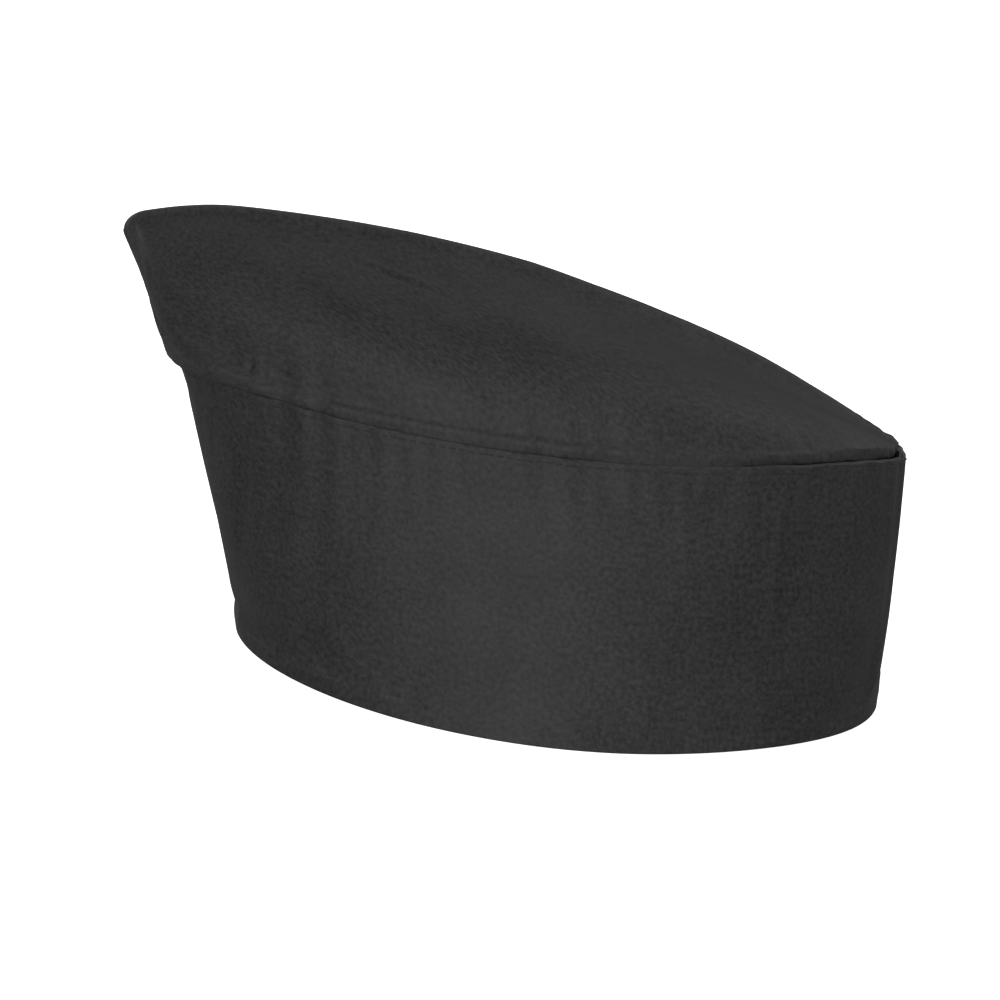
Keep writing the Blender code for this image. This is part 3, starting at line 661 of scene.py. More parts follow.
# ------------------------------------------------------------------ materials
class Graph:
    """A short way to write a node material."""

    def __init__(self, name):
        self.material = bpy.data.materials.new(name)
        self.material.use_nodes = True
        self.tree = self.material.node_tree
        self.shader = self.tree.nodes["Principled BSDF"]

    def node(self, kind, **settings):
        made = self.tree.nodes.new(kind)
        for key, value in settings.items():
            setattr(made, key, value)
        return made

    def link(self, a, b):
        self.tree.links.new(a, b)

    def math(self, operation, a, b=None):
        made = self.node("ShaderNodeMath", operation=operation)
        for socket, value in zip(made.inputs, (a, b)):
            if isinstance(value, (int, float)):
                socket.default_value = value
            elif value is not None:
                self.link(value, socket)
        return made.outputs[0]

    def times(self, a, b):
        return self.math("MULTIPLY", a, b)

    def plus(self, a, b):
        return self.math("ADD", a, b)

    def noise(self, vector, scale, detail=2.0, roughness=0.5):
        made = self.node("ShaderNodeTexNoise")
        made.inputs["Scale"].default_value = scale
        made.inputs["Detail"].default_value = detail
        made.inputs["Roughness"].default_value = roughness
        self.link(vector, made.inputs["Vector"])
        return made.outputs["Fac"]

    def remap(self, value, low, high, new_low=0.0, new_high=1.0):
        made = self.node("ShaderNodeMapRange")
        made.inputs["From Min"].default_value = low
        made.inputs["From Max"].default_value = high
        made.inputs["To Min"].default_value = new_low
        made.inputs["To Max"].default_value = new_high
        self.link(value, made.inputs["Value"])
        return made.outputs["Result"]

    def mix(self, factor, a, b):
        made = self.node("ShaderNodeMix", data_type="RGBA")
        self.link(factor, made.inputs["Factor"])
        for index, value in ((6, a), (7, b)):
            if isinstance(value, tuple):
                made.inputs[index].default_value = (*value, 1.0)
            else:
                self.link(value, made.inputs[index])
        return made.outputs[2]

    def bump(self, height, strength, distance):
        made = self.node("ShaderNodeBump")
        made.inputs["Strength"].default_value = strength
        made.inputs["Distance"].default_value = distance
        self.link(height, made.inputs["Height"])
        self.link(made.outputs["Normal"], self.shader.inputs["Normal"])

    def cloth_uv(self):
        uv = self.node("ShaderNodeUVMap", uv_map="cloth").outputs["UV"]
        split = self.node("ShaderNodeSeparateXYZ")
        self.link(uv, split.inputs[0])
        return uv, split.outputs[0], split.outputs[1]

    def set(self, **values):
        for key, value in values.items():
            self.shader.inputs[key.replace("_", " ")].default_value = value


def woven(name, dark, light, worn, pitch, diagonal, relief, roughness, sheen,
          streak=0.35, sheen_tint=(0.5, 0.5, 0.52), fuzz=0.5):
    """A woven cloth: yarns of a given pitch, a diagonal rib where it is twill, mottled dye,
    lint and lighter worn edges. A colour is a grey level or a triple."""
    dark, light, worn = (c if isinstance(c, tuple) else (c,) * 3 for c in (dark, light, worn))
    g = Graph(name)
    uv, u, v = g.cloth_uv()
    wobble = g.times(g.noise(uv, 260.0, 2.0), pitch * 1.6)
    warp = g.plus(u, wobble)
    weft = g.plus(v, wobble)
    rib = g.plus(warp, weft) if diagonal else warp
    ribs = g.math("SINE", g.times(rib, TAU / pitch))
    yarns = g.math("SINE", g.times(weft, TAU / (pitch * 0.62)))
    weave = g.plus(ribs, g.times(yarns, 0.45))
    lint = g.noise(uv, 1500.0, 3.0, 0.65)
    height = g.plus(g.times(weave, 0.30), g.times(lint, fuzz * 2.0))
    g.bump(height, relief, 0.12 * MM)
    grain = g.remap(g.noise(uv, 620.0, 3.0, 0.68), 0.3, 0.7)
    patchy = g.remap(g.noise(uv, 34.0, 5.0, 0.72), 0.3, 0.7)
    stretched = g.node("ShaderNodeMapping")
    stretched.inputs["Scale"].default_value = (260.0, 9.0, 1.0)
    g.link(uv, stretched.inputs["Vector"])
    streaks = g.remap(g.noise(stretched.outputs["Vector"], 1.0, 2.0, 0.6), 0.3, 0.7)
    tone = g.plus(g.times(grain, 0.70), g.times(patchy, 0.30 - streak / 2))
    tone = g.plus(tone, g.times(streaks, streak / 2))
    tone = g.plus(tone, g.times(weave, 0.08))
    colour = g.mix(tone, dark, light)
    wear = g.node("ShaderNodeAttribute", attribute_name="wear").outputs["Fac"]
    rub = g.times(wear, g.remap(g.noise(uv, 420.0, 3.0, 0.7), 0.35, 0.65, 0.25, 1.0))
    colour = g.mix(rub, colour, worn)
    g.link(colour, g.shader.inputs["Base Color"])
    g.link(g.remap(grain, 0.0, 1.0, roughness - 0.05, roughness + 0.05),
           g.shader.inputs["Roughness"])
    g.set(Sheen_Weight=sheen, Sheen_Roughness=0.45, Sheen_Tint=(*sheen_tint, 1.0),
          Specular_IOR_Level=0.25)
    return g.material


SHELL = woven("black_twill", (0.008, 0.008, 0.0081), (0.052, 0.052, 0.0523), 0.062, 0.62 * MM,
              True, 0.22, 0.58, 0.02, streak=0.08)
STIFFENER = woven("grey_interfacing", 0.17, (0.25, 0.25, 0.24), 0.30, 1.1 * MM,
                  False, 0.30, 0.92, 0.0, fuzz=1.0)
TERRY_CLOTH = woven("black_terry", 0.014, (0.045, 0.045, 0.046), 0.06, 1.1 * MM,
                    False, 0.55, 0.95, 0.25, fuzz=1.2)
TAPE_CLOTH = woven("black_tape", 0.022, 0.040, 0.055, 0.9 * MM, True, 0.45, 0.80, 0.08)
HOOK_NYLON = woven("black_hook_tape", 0.010, 0.024, 0.05, 0.8 * MM,
                   False, 0.35, 0.48, 0.0, fuzz=0.2)
LOOP_NYLON = woven("black_loop_tape", 0.011, 0.032, 0.05, 0.7 * MM,
                   False, 0.60, 0.90, 0.30, fuzz=1.2)
SATIN = woven("white_satin", (0.66, 0.66, 0.64), (0.80, 0.80, 0.78), (0.88, 0.88, 0.87),
              0.35 * MM, False, 0.18, 0.42, 0.15, sheen_tint=(1.0, 1.0, 1.0), fuzz=0.25)
THREAD = woven("black_thread", 0.024, 0.046, 0.08, 0.28 * MM, True, 0.50, 0.62, 0.10, fuzz=0.3)


def finish_piece(piece, node, body=None, bend=None):
    if bend:
        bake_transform(piece)
    else:
        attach(piece, body)
    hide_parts(node)


# ------------------------------------------------------------------ band and tail
FOLD_RISE = 0.45 * MM
ROLL = 0.375 * MM
SLIT = 0.30 * MM
SLIT_FOOT = BAND_HEIGHT - (SEAM_ALLOWANCE + 0.4 * MM)
MIDWALL = WALL / 2
TIP_CORNER = 3.0 * MM
END_ROUND = 1.05 * MM
STRIP_EDGE = 0.15 * MM


def layer(first, last, step, depth):
    """A straight run of the band's section at one depth, as rows of (slant, depth, wear)."""
    return [(slant, depth, 0.0) for slant in spaced(first, last, step)]


def top_edge(depth):
    """The rounded top edge of one of the band's layers, from its inner face outwards."""
    wide = (MIDWALL - SLIT) / 2
    return [(BAND_HEIGHT - ROLL + ROLL * math.sin(angle), depth - wide * (1.0 - math.cos(angle)),
             0.55 * math.sin(angle)) for angle in np.linspace(0.0, math.pi, 7)]


def band_section():
    """The folded shell's closed section as rows of (slant, depth, wear): down the outer
    face, round the rim's fold, up the inner face, over both top edges and down the slit
    between them, then back up inside the channel."""
    face_low, face_high = FOLD_RISE + 0.8 * MM, BAND_HEIGHT - ROLL - 0.6 * MM
    slit_high, channel_high = BAND_HEIGHT - 1.2 * MM, SLIT_FOOT - 0.8 * MM
    channel_low = FOLD_RISE + 0.2 * MM
    fold = [(FOLD_RISE * (1.0 - math.sin(angle)), MIDWALL * (1.0 - math.cos(angle)),
             0.9 * math.sin(angle) ** 2) for angle in np.linspace(0.0, math.pi, 13)]
    return np.array(layer(face_high, face_low, 1.6 * MM, 0.0) + fold
                    + layer(face_low, face_high, 2.4 * MM, WALL) + top_edge(WALL)
                    + layer(slit_high, SLIT_FOOT, 2.4 * MM, MIDWALL + SLIT)
                    + layer(channel_high, channel_low, 4.0 * MM, MIDWALL + CHANNEL / 2)
                    + layer(channel_low, channel_high, 4.0 * MM, MIDWALL - CHANNEL / 2)
                    + layer(SLIT_FOOT, slit_high, 2.4 * MM, MIDWALL - SLIT)
                    + top_edge(MIDWALL - SLIT))


def section_run(section):
    """Distance round a closed section of (slant, depth), with the closing step."""
    return running(np.linalg.norm(np.roll(section[:, :2], -1, 0) - section[:, :2], axis=1))


def section_tips(section):
    """The two points of the folded section at the tops of its layers."""
    high = section[:, 0] > BAND_HEIGHT - 0.01 * MM
    tops = np.flatnonzero(high)
    return int(tops[-1]), int(tops[0])


SECTION = band_section()
SECTION_TIPS = section_tips(SECTION)
ROOT_CUT = TAIL_ROOT - 6 * MM / GIRTH
UNDERLAP_END = TAIL_ROOT - 1.0 + UNDERLAP_CLEARANCE / GIRTH


def end_thickness(to_end):
    """The wall's thickness near a rounded end, as a share of the whole."""
    past = np.clip(1.0 - to_end / END_ROUND, 0.0, 1.0)
    return np.sqrt(np.maximum(1.0 - past ** 2, 0.02))


def shell_cloth(name, turns, slant, depth):
    """The folded shell swept along turns, with its section's slants and depths given."""
    return tube(name, shell(turns[:, None], slant, depth), SHELL, SECTION[None, :, 2],
                turns * GIRTH, section_run(SECTION), SECTION_TIPS)


def make_band():
    turns = spaced(UNDERLAP_END, ROOT_CUT, 1.5 * MM / GIRTH)
    flat = end_thickness((turns - turns[0])[:, None] * GIRTH)
    depth = band_tuck(turns)[:, None] + MIDWALL + (SECTION[None, :, 1] - MIDWALL) * flat
    return shell_cloth("band_cloth", turns, SECTION[None, :, 0], depth)


def tail_top_drop(turns):
    return TAIL_TOP_DROP * smooth((turns - TAIL_ROOT) * GIRTH / (10 * MM) + 0.25)


def tail_scale(turns):
    """The tail's slants and depths: its top drops, its slit closes and its tip is rounded."""
    drop = tail_top_drop(turns)[:, None]
    to_tip = (TAIL_END - turns)[:, None] * GIRTH
    into = np.clip(TIP_CORNER - to_tip, 0.0, TIP_CORNER)
    corner = TIP_CORNER - np.sqrt(TIP_CORNER ** 2 - into ** 2)
    corner = np.minimum(corner, 0.9 * TIP_CORNER)
    slant, depth = SECTION[None, :, 0], SECTION[None, :, 1]
    high = np.clip((slant - BAND_HEIGHT / 2) / (BAND_HEIGHT / 2), 0.0, 1.0)
    low = np.clip((BAND_HEIGHT / 2 - slant) / (BAND_HEIGHT / 2), 0.0, 1.0)
    close = smooth((turns - TAIL_ROOT) * GIRTH / (8 * MM))[:, None]
    inside = (np.abs(depth - MIDWALL) < SLIT + 0.01 * MM) & (slant > BAND_HEIGHT / 2)
    depth = np.where(inside, MIDWALL + (depth - MIDWALL) * (1.0 - 0.8 * close), depth)
    slant = slant - drop * smooth(high) - corner * high + corner * low
    return slant, MIDWALL + (depth - MIDWALL) * end_thickness(to_tip)


def tail_bend():
    """Where the tail's cloth bends as it is peeled: along the wall, across its root."""
    here = wall(TAIL_ROOT, BAND_HEIGHT / 2, 0.0)
    ahead = wall(TAIL_ROOT + 1 * MM / GIRTH, BAND_HEIGHT / 2, 0.0)
    axis = unit(wall(TAIL_ROOT, BAND_HEIGHT, 0.0) - wall(TAIL_ROOT, 0.0, 0.0))
    way = unit(ahead - here)
    way = unit(way - axis * (way * axis).sum())
    return tuple(here - way * 4.5 * MM), tuple(here + way * 13.0 * MM)


BEND = tail_bend()


def tail_stations(step):
    turns = spaced(ROOT_CUT, TAIL_END - 3.2 * MM / GIRTH, step / GIRTH)
    tip = TAIL_END - np.array((2.6, 2.0, 1.5, 1.05, 0.7, 0.4, 0.2, 0.07, 0.0)) * MM / GIRTH
    return np.concatenate([turns, tip])


def make_tail():
    turns = tail_stations(1.5 * MM)
    return shell_cloth("tail_cloth", turns, *tail_scale(turns))


def make_strip(name, turns, slants, near, far, coat, tuck=None, relief=None):
    """A flat strip on the wall between two depths, with softened long edges. relief moves
    its near face, tuck the whole of it."""
    outer = np.stack([slants, np.full(len(slants), near)], -1)
    inner = np.stack([slants[::-1], np.full(len(slants), far)], -1)
    soft = math.copysign(STRIP_EDGE, far - near)
    outer[[0, -1], 1] += soft
    inner[[0, -1], 1] -= soft
    section = np.concatenate([outer, inner])
    depth = np.broadcast_to(section[None, :, 1], (len(turns), len(section))).copy()
    if relief is not None:
        depth[:, :len(slants)] += relief
    if tuck is not None:
        depth = depth + tuck(turns)[:, None]
    grid = shell(turns[:, None], section[None, :, 0], depth)
    return tube(name, grid, coat, u=turns * GIRTH, v=section_run(section),
                tips=(0, len(slants)))


finish_piece(make_band(), "band", body="hat")
finish_piece(make_tail(), "closure_tail", bend=BEND)

STIFF_TOP = BAND_HEIGHT - SEAM_ALLOWANCE - 1.6 * MM
STIFF_NEAR, STIFF_FAR = 0.80 * MM, 1.30 * MM


def stiffener(name, first, last, foot, tuck=None):
    """Interfacing inside the folded shell, over turns and from a slant up."""
    return make_strip(name, spaced(first, last, 3 * MM / GIRTH), spaced(foot, STIFF_TOP, 3 * MM),
                      STIFF_NEAR, STIFF_FAR, STIFFENER, tuck)


finish_piece(stiffener("band_stiffener", UNDERLAP_END + 1.5 * MM / GIRTH, ROOT_CUT, 1.6 * MM,
                       band_tuck),
             "band_interfacing", body="hat")
finish_piece(stiffener("tail_stiffener", ROOT_CUT + 0.3 * MM / GIRTH,
                       TAIL_END - 2.4 * MM / GIRTH, 2.2 * MM),
             "closure_tail_interfacing", bend=BEND)


# ------------------------------------------------------------------ crown
CROWN_DEPTH = 110.0
LIP_TURNS = (0.0, 0.03, 0.07, 0.10, 0.14, 0.20, 0.235, 0.262, 0.29, 0.34, 0.38, 0.42, 0.5)
LIP_LEFT = (3.2, 3.1, 2.3, 1.1, 0.7, 0.45, 0.75, 1.35, 0.6, 0.35, 0.6, 1.2, 1.2)
LIP_RIGHT = (3.2, 3.0, 1.7, 0.9, 0.6, 0.8, 0.6, 0.5, 0.7, 0.5, 0.6, 1.2, 1.2)
ROLL_REACH = 2.2 * MM
RIDGE_GAP = 0.004 * MM
SEAM_FOOT = BAND_HEIGHT - 0.1 * MM
RIDGE_TRIM_AT = (-0.135, -0.11, -0.04, 0.0, 0.02, 0.045, 0.075, 0.094, 0.102, 0.112, 0.118, 0.128)
RIDGE_TRIM = (0.0, -0.2, 0.6, 0.6, -0.3, -0.7, -0.4, -0.5, -0.1, 0.5, 1.1, 0.4)


def crown_rows():
    """Shares up a panel, closer together at its seams. CROWN_DEPTH is how deep the deepest
    part of a panel is, in millimetres."""
    seam = np.array((0.0, 0.35, 0.8, 1.3, 1.9, 2.6, 3.4, 4.3, 5.3, 6.5)) / CROWN_DEPTH
    body = spaced(7.8 / CROWN_DEPTH, 0.972, 1.45 / CROWN_DEPTH)
    ridge = np.array((0.980, 0.986, 0.991, 0.995, 0.998, 1.0))
    return np.concatenate([seam, body, ridge])


def arc_length(points):
    steps = np.linalg.norm(np.diff(points, axis=1), axis=-1)
    return np.concatenate([np.zeros((len(points), 1)), np.cumsum(steps, 1)], 1)


def grid_normal(points):
    return unit(np.cross(np.gradient(points, axis=0), np.gradient(points, axis=1)))


def crown_shape(side, shares, rows):
    """A crown panel's outer face with its softness, on the left; side is +1 or -1."""
    turn = shares / 2
    actual = turn if side > 0 else -turn
    points = crown_surface(shares[:, None], rows[None], side)
    run = arc_length(points)
    total = run[:, -1:]
    out = SEAM.outward(turn)
    out3 = np.concatenate([out, np.zeros((len(out), 1))], -1)[:, None]
    fade = 1.0 - smooth(rows / 0.3)
    points = points + out3 * (sway(actual, BAND_HEIGHT)[:, None] * fade[None])[..., None]
    points[..., 2] += lift(actual, BAND_HEIGHT)[:, None] * (1.0 - smooth(rows / 0.35))[None]
    points[..., 2] += np.interp(points[..., 1], RIDGE_TRIM_AT, RIDGE_TRIM) * smooth(rows)[None] * MM
    normal = grid_normal(points)
    size = np.interp(turn, LIP_TURNS, LIP_LEFT if side > 0 else LIP_RIGHT)[:, None] * MM
    lip = size * smooth(run / (2.0 * MM)) * np.exp(-(run / (11 * MM)) ** 1.6)
    outward = unit(out3 * 0.85 + normal * 0.5 - np.array((0.0, 0.0, 0.22)))
    points = points + outward * lip[..., None]
    gather = pucker(actual)[:, None] * np.exp(-run / (9 * MM)) * smooth(run / (1.2 * MM)) * 0.8
    full = 0.5 * np.exp(-(turn / 0.05) ** 2)[:, None] * np.exp(-((rows - 0.25) / 0.25) ** 2)[None]
    left = total - run
    soft = ripple(run + side * 0.31, turn[:, None] * 0.58, 45 * MM, 130 * MM, 21 + side, 12)
    soft = 0.42 * soft * smooth(run / (18 * MM)) * smooth(left / (14 * MM))
    soft = soft * smooth(turn / 0.07)[:, None]
    bow = creased(gather + (full + soft) * MM, LEFT_CREASES if side > 0 else RIGHT_CREASES,
                  CROWN_SPAN, shares[:, None] * CROWN_SPAN, run / MM)
    points = points + normal * bow[..., None]
    return roll_to_seam(points, run, actual, side), run, total


def panel_wall(turn, slant, depth, side):
    """Points of the soft wall, mirrored to the left for the right panel."""
    point = shell(turn, slant, depth)
    point[..., 0] = np.maximum(point[..., 0] * side, 0.0)
    return point


def roll_to_seam(points, run, actual, side):
    """The first few millimetres curve down and in to the seam, over the tail where it is."""
    tuck = crown_tuck(actual)
    seam = panel_wall(actual, SEAM_FOOT, CLOTH + GAP + tuck, side)
    reach = ROLL_REACH + 0.2 * tuck
    spot = np.array([interpolated(r, run[i], points[i]) for i, r in enumerate(reach)])
    knee = spot.copy()
    knee[:, 2] = seam[:, 2] - 0.5 * MM - 2.2 * MM * tuck / TUCK
    k = np.clip(run / reach[:, None], 0.0, 1.0)[..., None]
    curve = (seam[:, None] * (1 - k) ** 2 + knee[:, None] * (2 * k * (1 - k))
             + spot[:, None] * k ** 2)
    return np.where(k < 1.0, curve, points)


def simulate_crown(side):
    """The crown's cloth, held at the seam and along the ridge, settles under its weight."""
    shares = np.linspace(0.0, 1.0, 97)
    rows = np.linspace(0.0, 1.0, 45)
    points = crown_shape(side, shares, rows)[0]
    pinned = np.zeros(points.shape[:2])
    pinned[:, (0, -1)] = 1.0
    pinned[:, (1, -2)] = 0.7
    pinned[(0, -1), :] = 1.0
    pinned[(1, -2), :] = 0.7
    moved = run_cloth("crown_drape", points, False, pinned, shrink=-0.012,
                      pressure=0.18 * side)
    length = np.linalg.norm(moved, axis=-1, keepdims=True)
    return moved / np.maximum(length, 1e-9) * (CROWN_SAG * np.tanh(length / CROWN_SAG))


def allowance(share):
    clear = np.abs(share / 2 - TAIL_ROOT) - TUCK_TURNS * NO_ALLOWANCE
    return SEAM_ALLOWANCE * smooth(clear / (TUCK_TURNS * ALLOWANCE_TAPER))


def crown_face(side):
    """The crown panel's finished outer face, its shares, and distances from its edges."""
    shares = np.linspace(0.0, 1.0, 221)
    rows = crown_rows()
    points, run, total = crown_shape(side, shares, rows)
    a, b = np.meshgrid(shares, rows, indexing="ij")
    points = points + sample(simulate_crown(side), a, b)
    left = total - run
    valley = 0.30 * MM * np.exp(-left / (0.9 * MM))
    points = points - grid_normal(points) * valley[..., None]
    points[..., 0] -= points[:, -1:, 0] * np.exp(-left / (4 * MM))
    points[..., 0] = np.maximum(points[..., 0], 0.0)
    points[(0, -1), :, 0] = 0.0
    return points, shares, run, total


def make_crown(name, side):
    points, shares, run, total = crown_face(side)
    turn = shares / 2
    actual = turn if side > 0 else -turn
    tuck = crown_tuck(actual)
    reach = allowance(shares) if side > 0 else np.full_like(shares, SEAM_ALLOWANCE)
    normal = grid_normal(points)
    back = points - normal * CLOTH
    back[..., 0] = np.maximum(back[..., 0], 0.0)
    share = np.array((0.0, 0.25, 0.5, 0.75, 1.0))
    foot = BAND_HEIGHT - 0.3 * MM - reach[:, None] * (1.0 - share[None])
    near = (CLOTH + GAP + tuck)[:, None]
    back[:, 0] = panel_wall(actual, SEAM_FOOT, near[:, 0] + CLOTH, side)
    low = panel_wall(actual[:, None], foot, near, side)
    low_back = panel_wall(actual[:, None], foot, near + CLOTH, side)
    inner = np.concatenate([low_back, back], 1)
    grid = np.concatenate([low, points, inner[:, ::-1]], 1)
    grid[..., 0] = side * (grid[..., 0] + RIDGE_GAP)
    left = total - run
    wear = 0.6 * np.exp(-(np.abs(left - 1.2 * MM) / (1.1 * MM)) ** 2)
    wear = wear + 0.5 * np.exp(-(np.abs(run - 3 * MM) / (2 * MM)) ** 2) * np.interp(
        turn, LIP_TURNS, LIP_LEFT)[:, None] / 2.3
    wear = np.concatenate([np.zeros(low.shape[:2]), wear, np.zeros(inner.shape[:2])], 1)
    return tube(name, grid, SHELL, wear), points, normal, left


def make_ridge_tape(faces):
    """The tape pressed over the inside of the ridge seam."""
    reach = np.array((0.06, 0.28, 0.52, 0.76, 1.0)) * TAPE_WIDTH / 2
    rings = []
    for depth in (CLOTH + 0.12 * MM, CLOTH + 0.52 * MM):
        rails = []
        for side, (points, normal, left) in zip((1, -1), faces):
            rail = []
            for i in range(len(points)):
                order = np.argsort(left[i])
                distance = np.minimum(reach, left[i].max() * 0.9)
                spot, way = (interpolated(distance, left[i][order], field[i][order])
                             for field in (points, normal))
                spot = spot - unit(way) * depth
                spot[:, 0] = side * np.maximum(spot[:, 0], 0.02 * MM)
                rail.append(spot)
            rails.append(np.array(rail))
        rings.append(np.concatenate([rails[1][:, ::-1], rails[0]], 1))
    grid = np.concatenate([rings[0], rings[1][:, ::-1]], 1)
    along = RIDGE_RUN[-1] * np.linspace(0.0, 1.0, len(grid)) ** FRONT_CROWDING
    keep = (along > TAPE_INSET) & (along < RIDGE_RUN[-1] - TAPE_INSET)
    return tube("ridge_tape", grid[keep], TAPE_CLOTH)


left_panel, *left_face = make_crown("crown_left", 1)
right_panel, *right_face = make_crown("crown_right", -1)
finish_piece(left_panel, "crown_panel_left", body="hat")
finish_piece(right_panel, "crown_panel_right", body="hat")
finish_piece(make_ridge_tape((left_face, right_face)), "ridge_seam_tape",
             body="hat")


# ------------------------------------------------------------------ inside pieces
def make_sweatband():
    turns = spaced(-SWEATBAND_TURN, SWEATBAND_TURN, 0.75 * MM / GIRTH)
    slants = spaced(SWEATBAND_INSET, SWEATBAND_INSET + SWEATBAND_HEIGHT, 0.75 * MM)
    u, v = np.meshgrid(turns * GIRTH, slants, indexing="ij")
    random = np.random.default_rng(3)
    knots = random.uniform(-1.0, 1.0, u.shape)
    loops = 0.6 * np.sin(TAU * u / (2.2 * MM)) * np.sin(TAU * v / (2.6 * MM)) + 0.5 * knots
    margin = np.minimum(v - slants[0], slants[-1] - v)
    hem = smooth((margin - 2.6 * MM) / (1.2 * MM))
    groove = np.exp(-((margin - TOPSTITCH) / (0.7 * MM)) ** 2)
    relief = 0.22 * MM * loops * hem - 0.35 * MM * groove - 0.15 * MM * (1.0 - hem)
    return make_strip("sweatband_terry", turns, slants, WALL + 0.15 * MM + TERRY,
                      WALL + 0.1 * MM, TERRY_CLOTH, relief=relief)


finish_piece(make_sweatband(), "sweatband", body="hat")


def label_edge():
    half = LABEL_SIZE[0] / 2 / SEAM.girth
    return (wall(LABEL_TURN - half, LABEL_TOP, WALL + GAP),
            wall(LABEL_TURN + half, LABEL_TOP, WALL + GAP))


def make_label():
    """A blank satin label with a folded top, woven edges and its two rows of stitches."""
    first, last = label_edge()
    along = unit(last - first)
    down = np.array((0.0, 0.0, -1.0))
    inward = unit(np.cross(along, down))
    width, height = LABEL_SIZE
    across = np.linspace(0.0, 1.0, 33)
    drops = spaced(0.0, height, 0.9 * MM)
    a, b = np.meshgrid(across, drops / height, indexing="ij")
    wave = 0.35 * MM * smooth(b / 0.3) * np.sin(TAU * (0.8 * a + 0.35 * b))
    curl = 0.8 * MM * b ** 3
    ridge = 0.10 * MM * (np.abs(a - 0.5) > 0.47)
    fold = 0.12 * MM * (b < 0.12) + 0.10 * MM * (b > 0.95)
    base = first + a[..., None] * width * along + b[..., None] * height * down
    mid = base + inward * (wave + curl + 0.25 * MM)[..., None]
    half = (0.12 * MM + (ridge + fold) / 2)[..., None]
    grid = np.concatenate([mid - inward * half, (mid + inward * half)[:, ::-1]], 1)
    sheet = tube("care_label_satin", grid, SATIN)
    line = first + np.linspace(0.03, 0.97, 60)[:, None] * width * along + down * 2.2 * MM
    rows = []
    for way in (1, -1):
        path = line + inward * (0.25 + way * 0.24) * MM
        rows.append(stitch_paths(path, np.broadcast_to(inward * way, path.shape),
                                 pitch=2.4 * MM, length=1.9 * MM, radius=0.14 * MM))
    sewn = fibres("label_stitches", np.concatenate(rows), 0.14 * MM, THREAD)
    return join_meshes("care_label_satin", [sheet, sewn])


finish_piece(make_label(), "care_label", body="label")


# ------------------------------------------------------------------ hook and loop closure
LOOP_COUNT = 1500


def hook_span():
    last = TAIL_END - HOOK_INSET / GIRTH
    return last - HOOK_SIZE[0] / GIRTH, last


def loop_span():
    last = hook_span()[1] - 1.0
    return last - LOOP_SIZE[0] / GIRTH, last


def tape(name, first, last, width, near, far, coat):
    """A closure strip's woven base, and the slants of its two edges."""
    low, high = STRIP_CENTRE - width / 2, STRIP_CENTRE + width / 2
    base = make_strip(name, spaced(first, last, 1.0 * MM / GIRTH), spaced(low, high, 1.0 * MM),
                      near, far, coat)
    return base, low, high


def make_hooks():
    first, last = hook_span()
    base, low, high = tape("hook_tape", first, last, HOOK_SIZE[1], WALL + 0.02 * MM,
                           WALL + 0.55 * MM, HOOK_NYLON)
    random = np.random.default_rng(17)
    turns = spaced(first + 1.6 * MM / GIRTH, last - 1.6 * MM / GIRTH, 1.5 * MM / GIRTH)
    slants = spaced(low + 1.6 * MM, high - 1.6 * MM, 1.5 * MM)
    t, s = np.meshgrid(turns, slants, indexing="ij")
    s = s + (np.arange(len(turns)) % 2)[:, None] * 0.6 * MM
    t, s = t.reshape(-1, 1), s.reshape(-1, 1)
    lean = random.uniform(0.8, 1.2, t.shape)
    way = np.where(random.random(t.shape) < 0.5, -1.0, 1.0)
    rise = np.array((0.0, 0.28, 0.52, 0.62, 0.55, 0.38))[None] * MM * 0.72
    move = np.array((0.0, 0.0, 0.08, 0.28, 0.50, 0.56))[None] * MM * lean * way
    paths = shell(t + move / GIRTH, np.broadcast_to(s, (len(s), 6)), WALL + 0.5 * MM + rise)
    hooks = fibres("hooks", paths, 0.10 * MM, HOOK_NYLON, sides=5)
    return join_meshes("hook_tape", [base, hooks])


def make_loops():
    first, last = loop_span()
    base, low, high = tape("loop_tape", first, last, LOOP_SIZE[1], TUCK - 0.85 * MM,
                           TUCK - 0.02 * MM, LOOP_NYLON)
    random = np.random.default_rng(23)
    each = (LOOP_COUNT, 1)
    t = random.uniform(first + 1.2 * MM / GIRTH, last - 1.2 * MM / GIRTH, each)
    s = random.uniform(low + 1.2 * MM, high - 1.2 * MM, each)
    angle = random.uniform(0.0, TAU, each)
    size = random.uniform(0.5, 1.0, each) * MM
    k = np.linspace(-1.0, 1.0, 7)[None]
    rise = random.uniform(0.25, 0.52, each) * MM * (1.0 - k ** 2) - 0.1 * MM
    t = t + size * k * np.cos(angle) / GIRTH
    s = s + size * k * np.sin(angle)
    paths = shell(t, s, TUCK - 0.85 * MM - rise)
    pile = fibres("pile", paths, 0.07 * MM, LOOP_NYLON, sides=4)
    return join_meshes("loop_tape", [base, pile])


finish_piece(make_hooks(), "hook_strip", body="tail")
finish_piece(make_loops(), "loop_strip", body="hat")


# ------------------------------------------------------------------ stitching
def wall_stitches(name, turns, slants, depth, outside, jitter):
    """A row of stitches along turns and slants on the wall's face at a depth."""
    path = shell(turns, slants, depth)
    normal = wall_normal(turns, slants) * (1 if outside else -1)
    return fibres(name, stitch_paths(path, normal, jitter=jitter), 0.2 * MM, THREAD)


def box_route(span, low, high):
    """A closed rectangle of turns and slants, densely spaced."""
    first, last = span
    across = spaced(first, last, 0.5 * MM / GIRTH)
    up = spaced(low, high, 0.5 * MM)
    turns = np.concatenate([across, np.full(len(up), last), across[::-1], np.full(len(up), first)])
    slants = np.concatenate([np.full(len(across), low), up, np.full(len(across), high), up[::-1]])
    return turns, slants


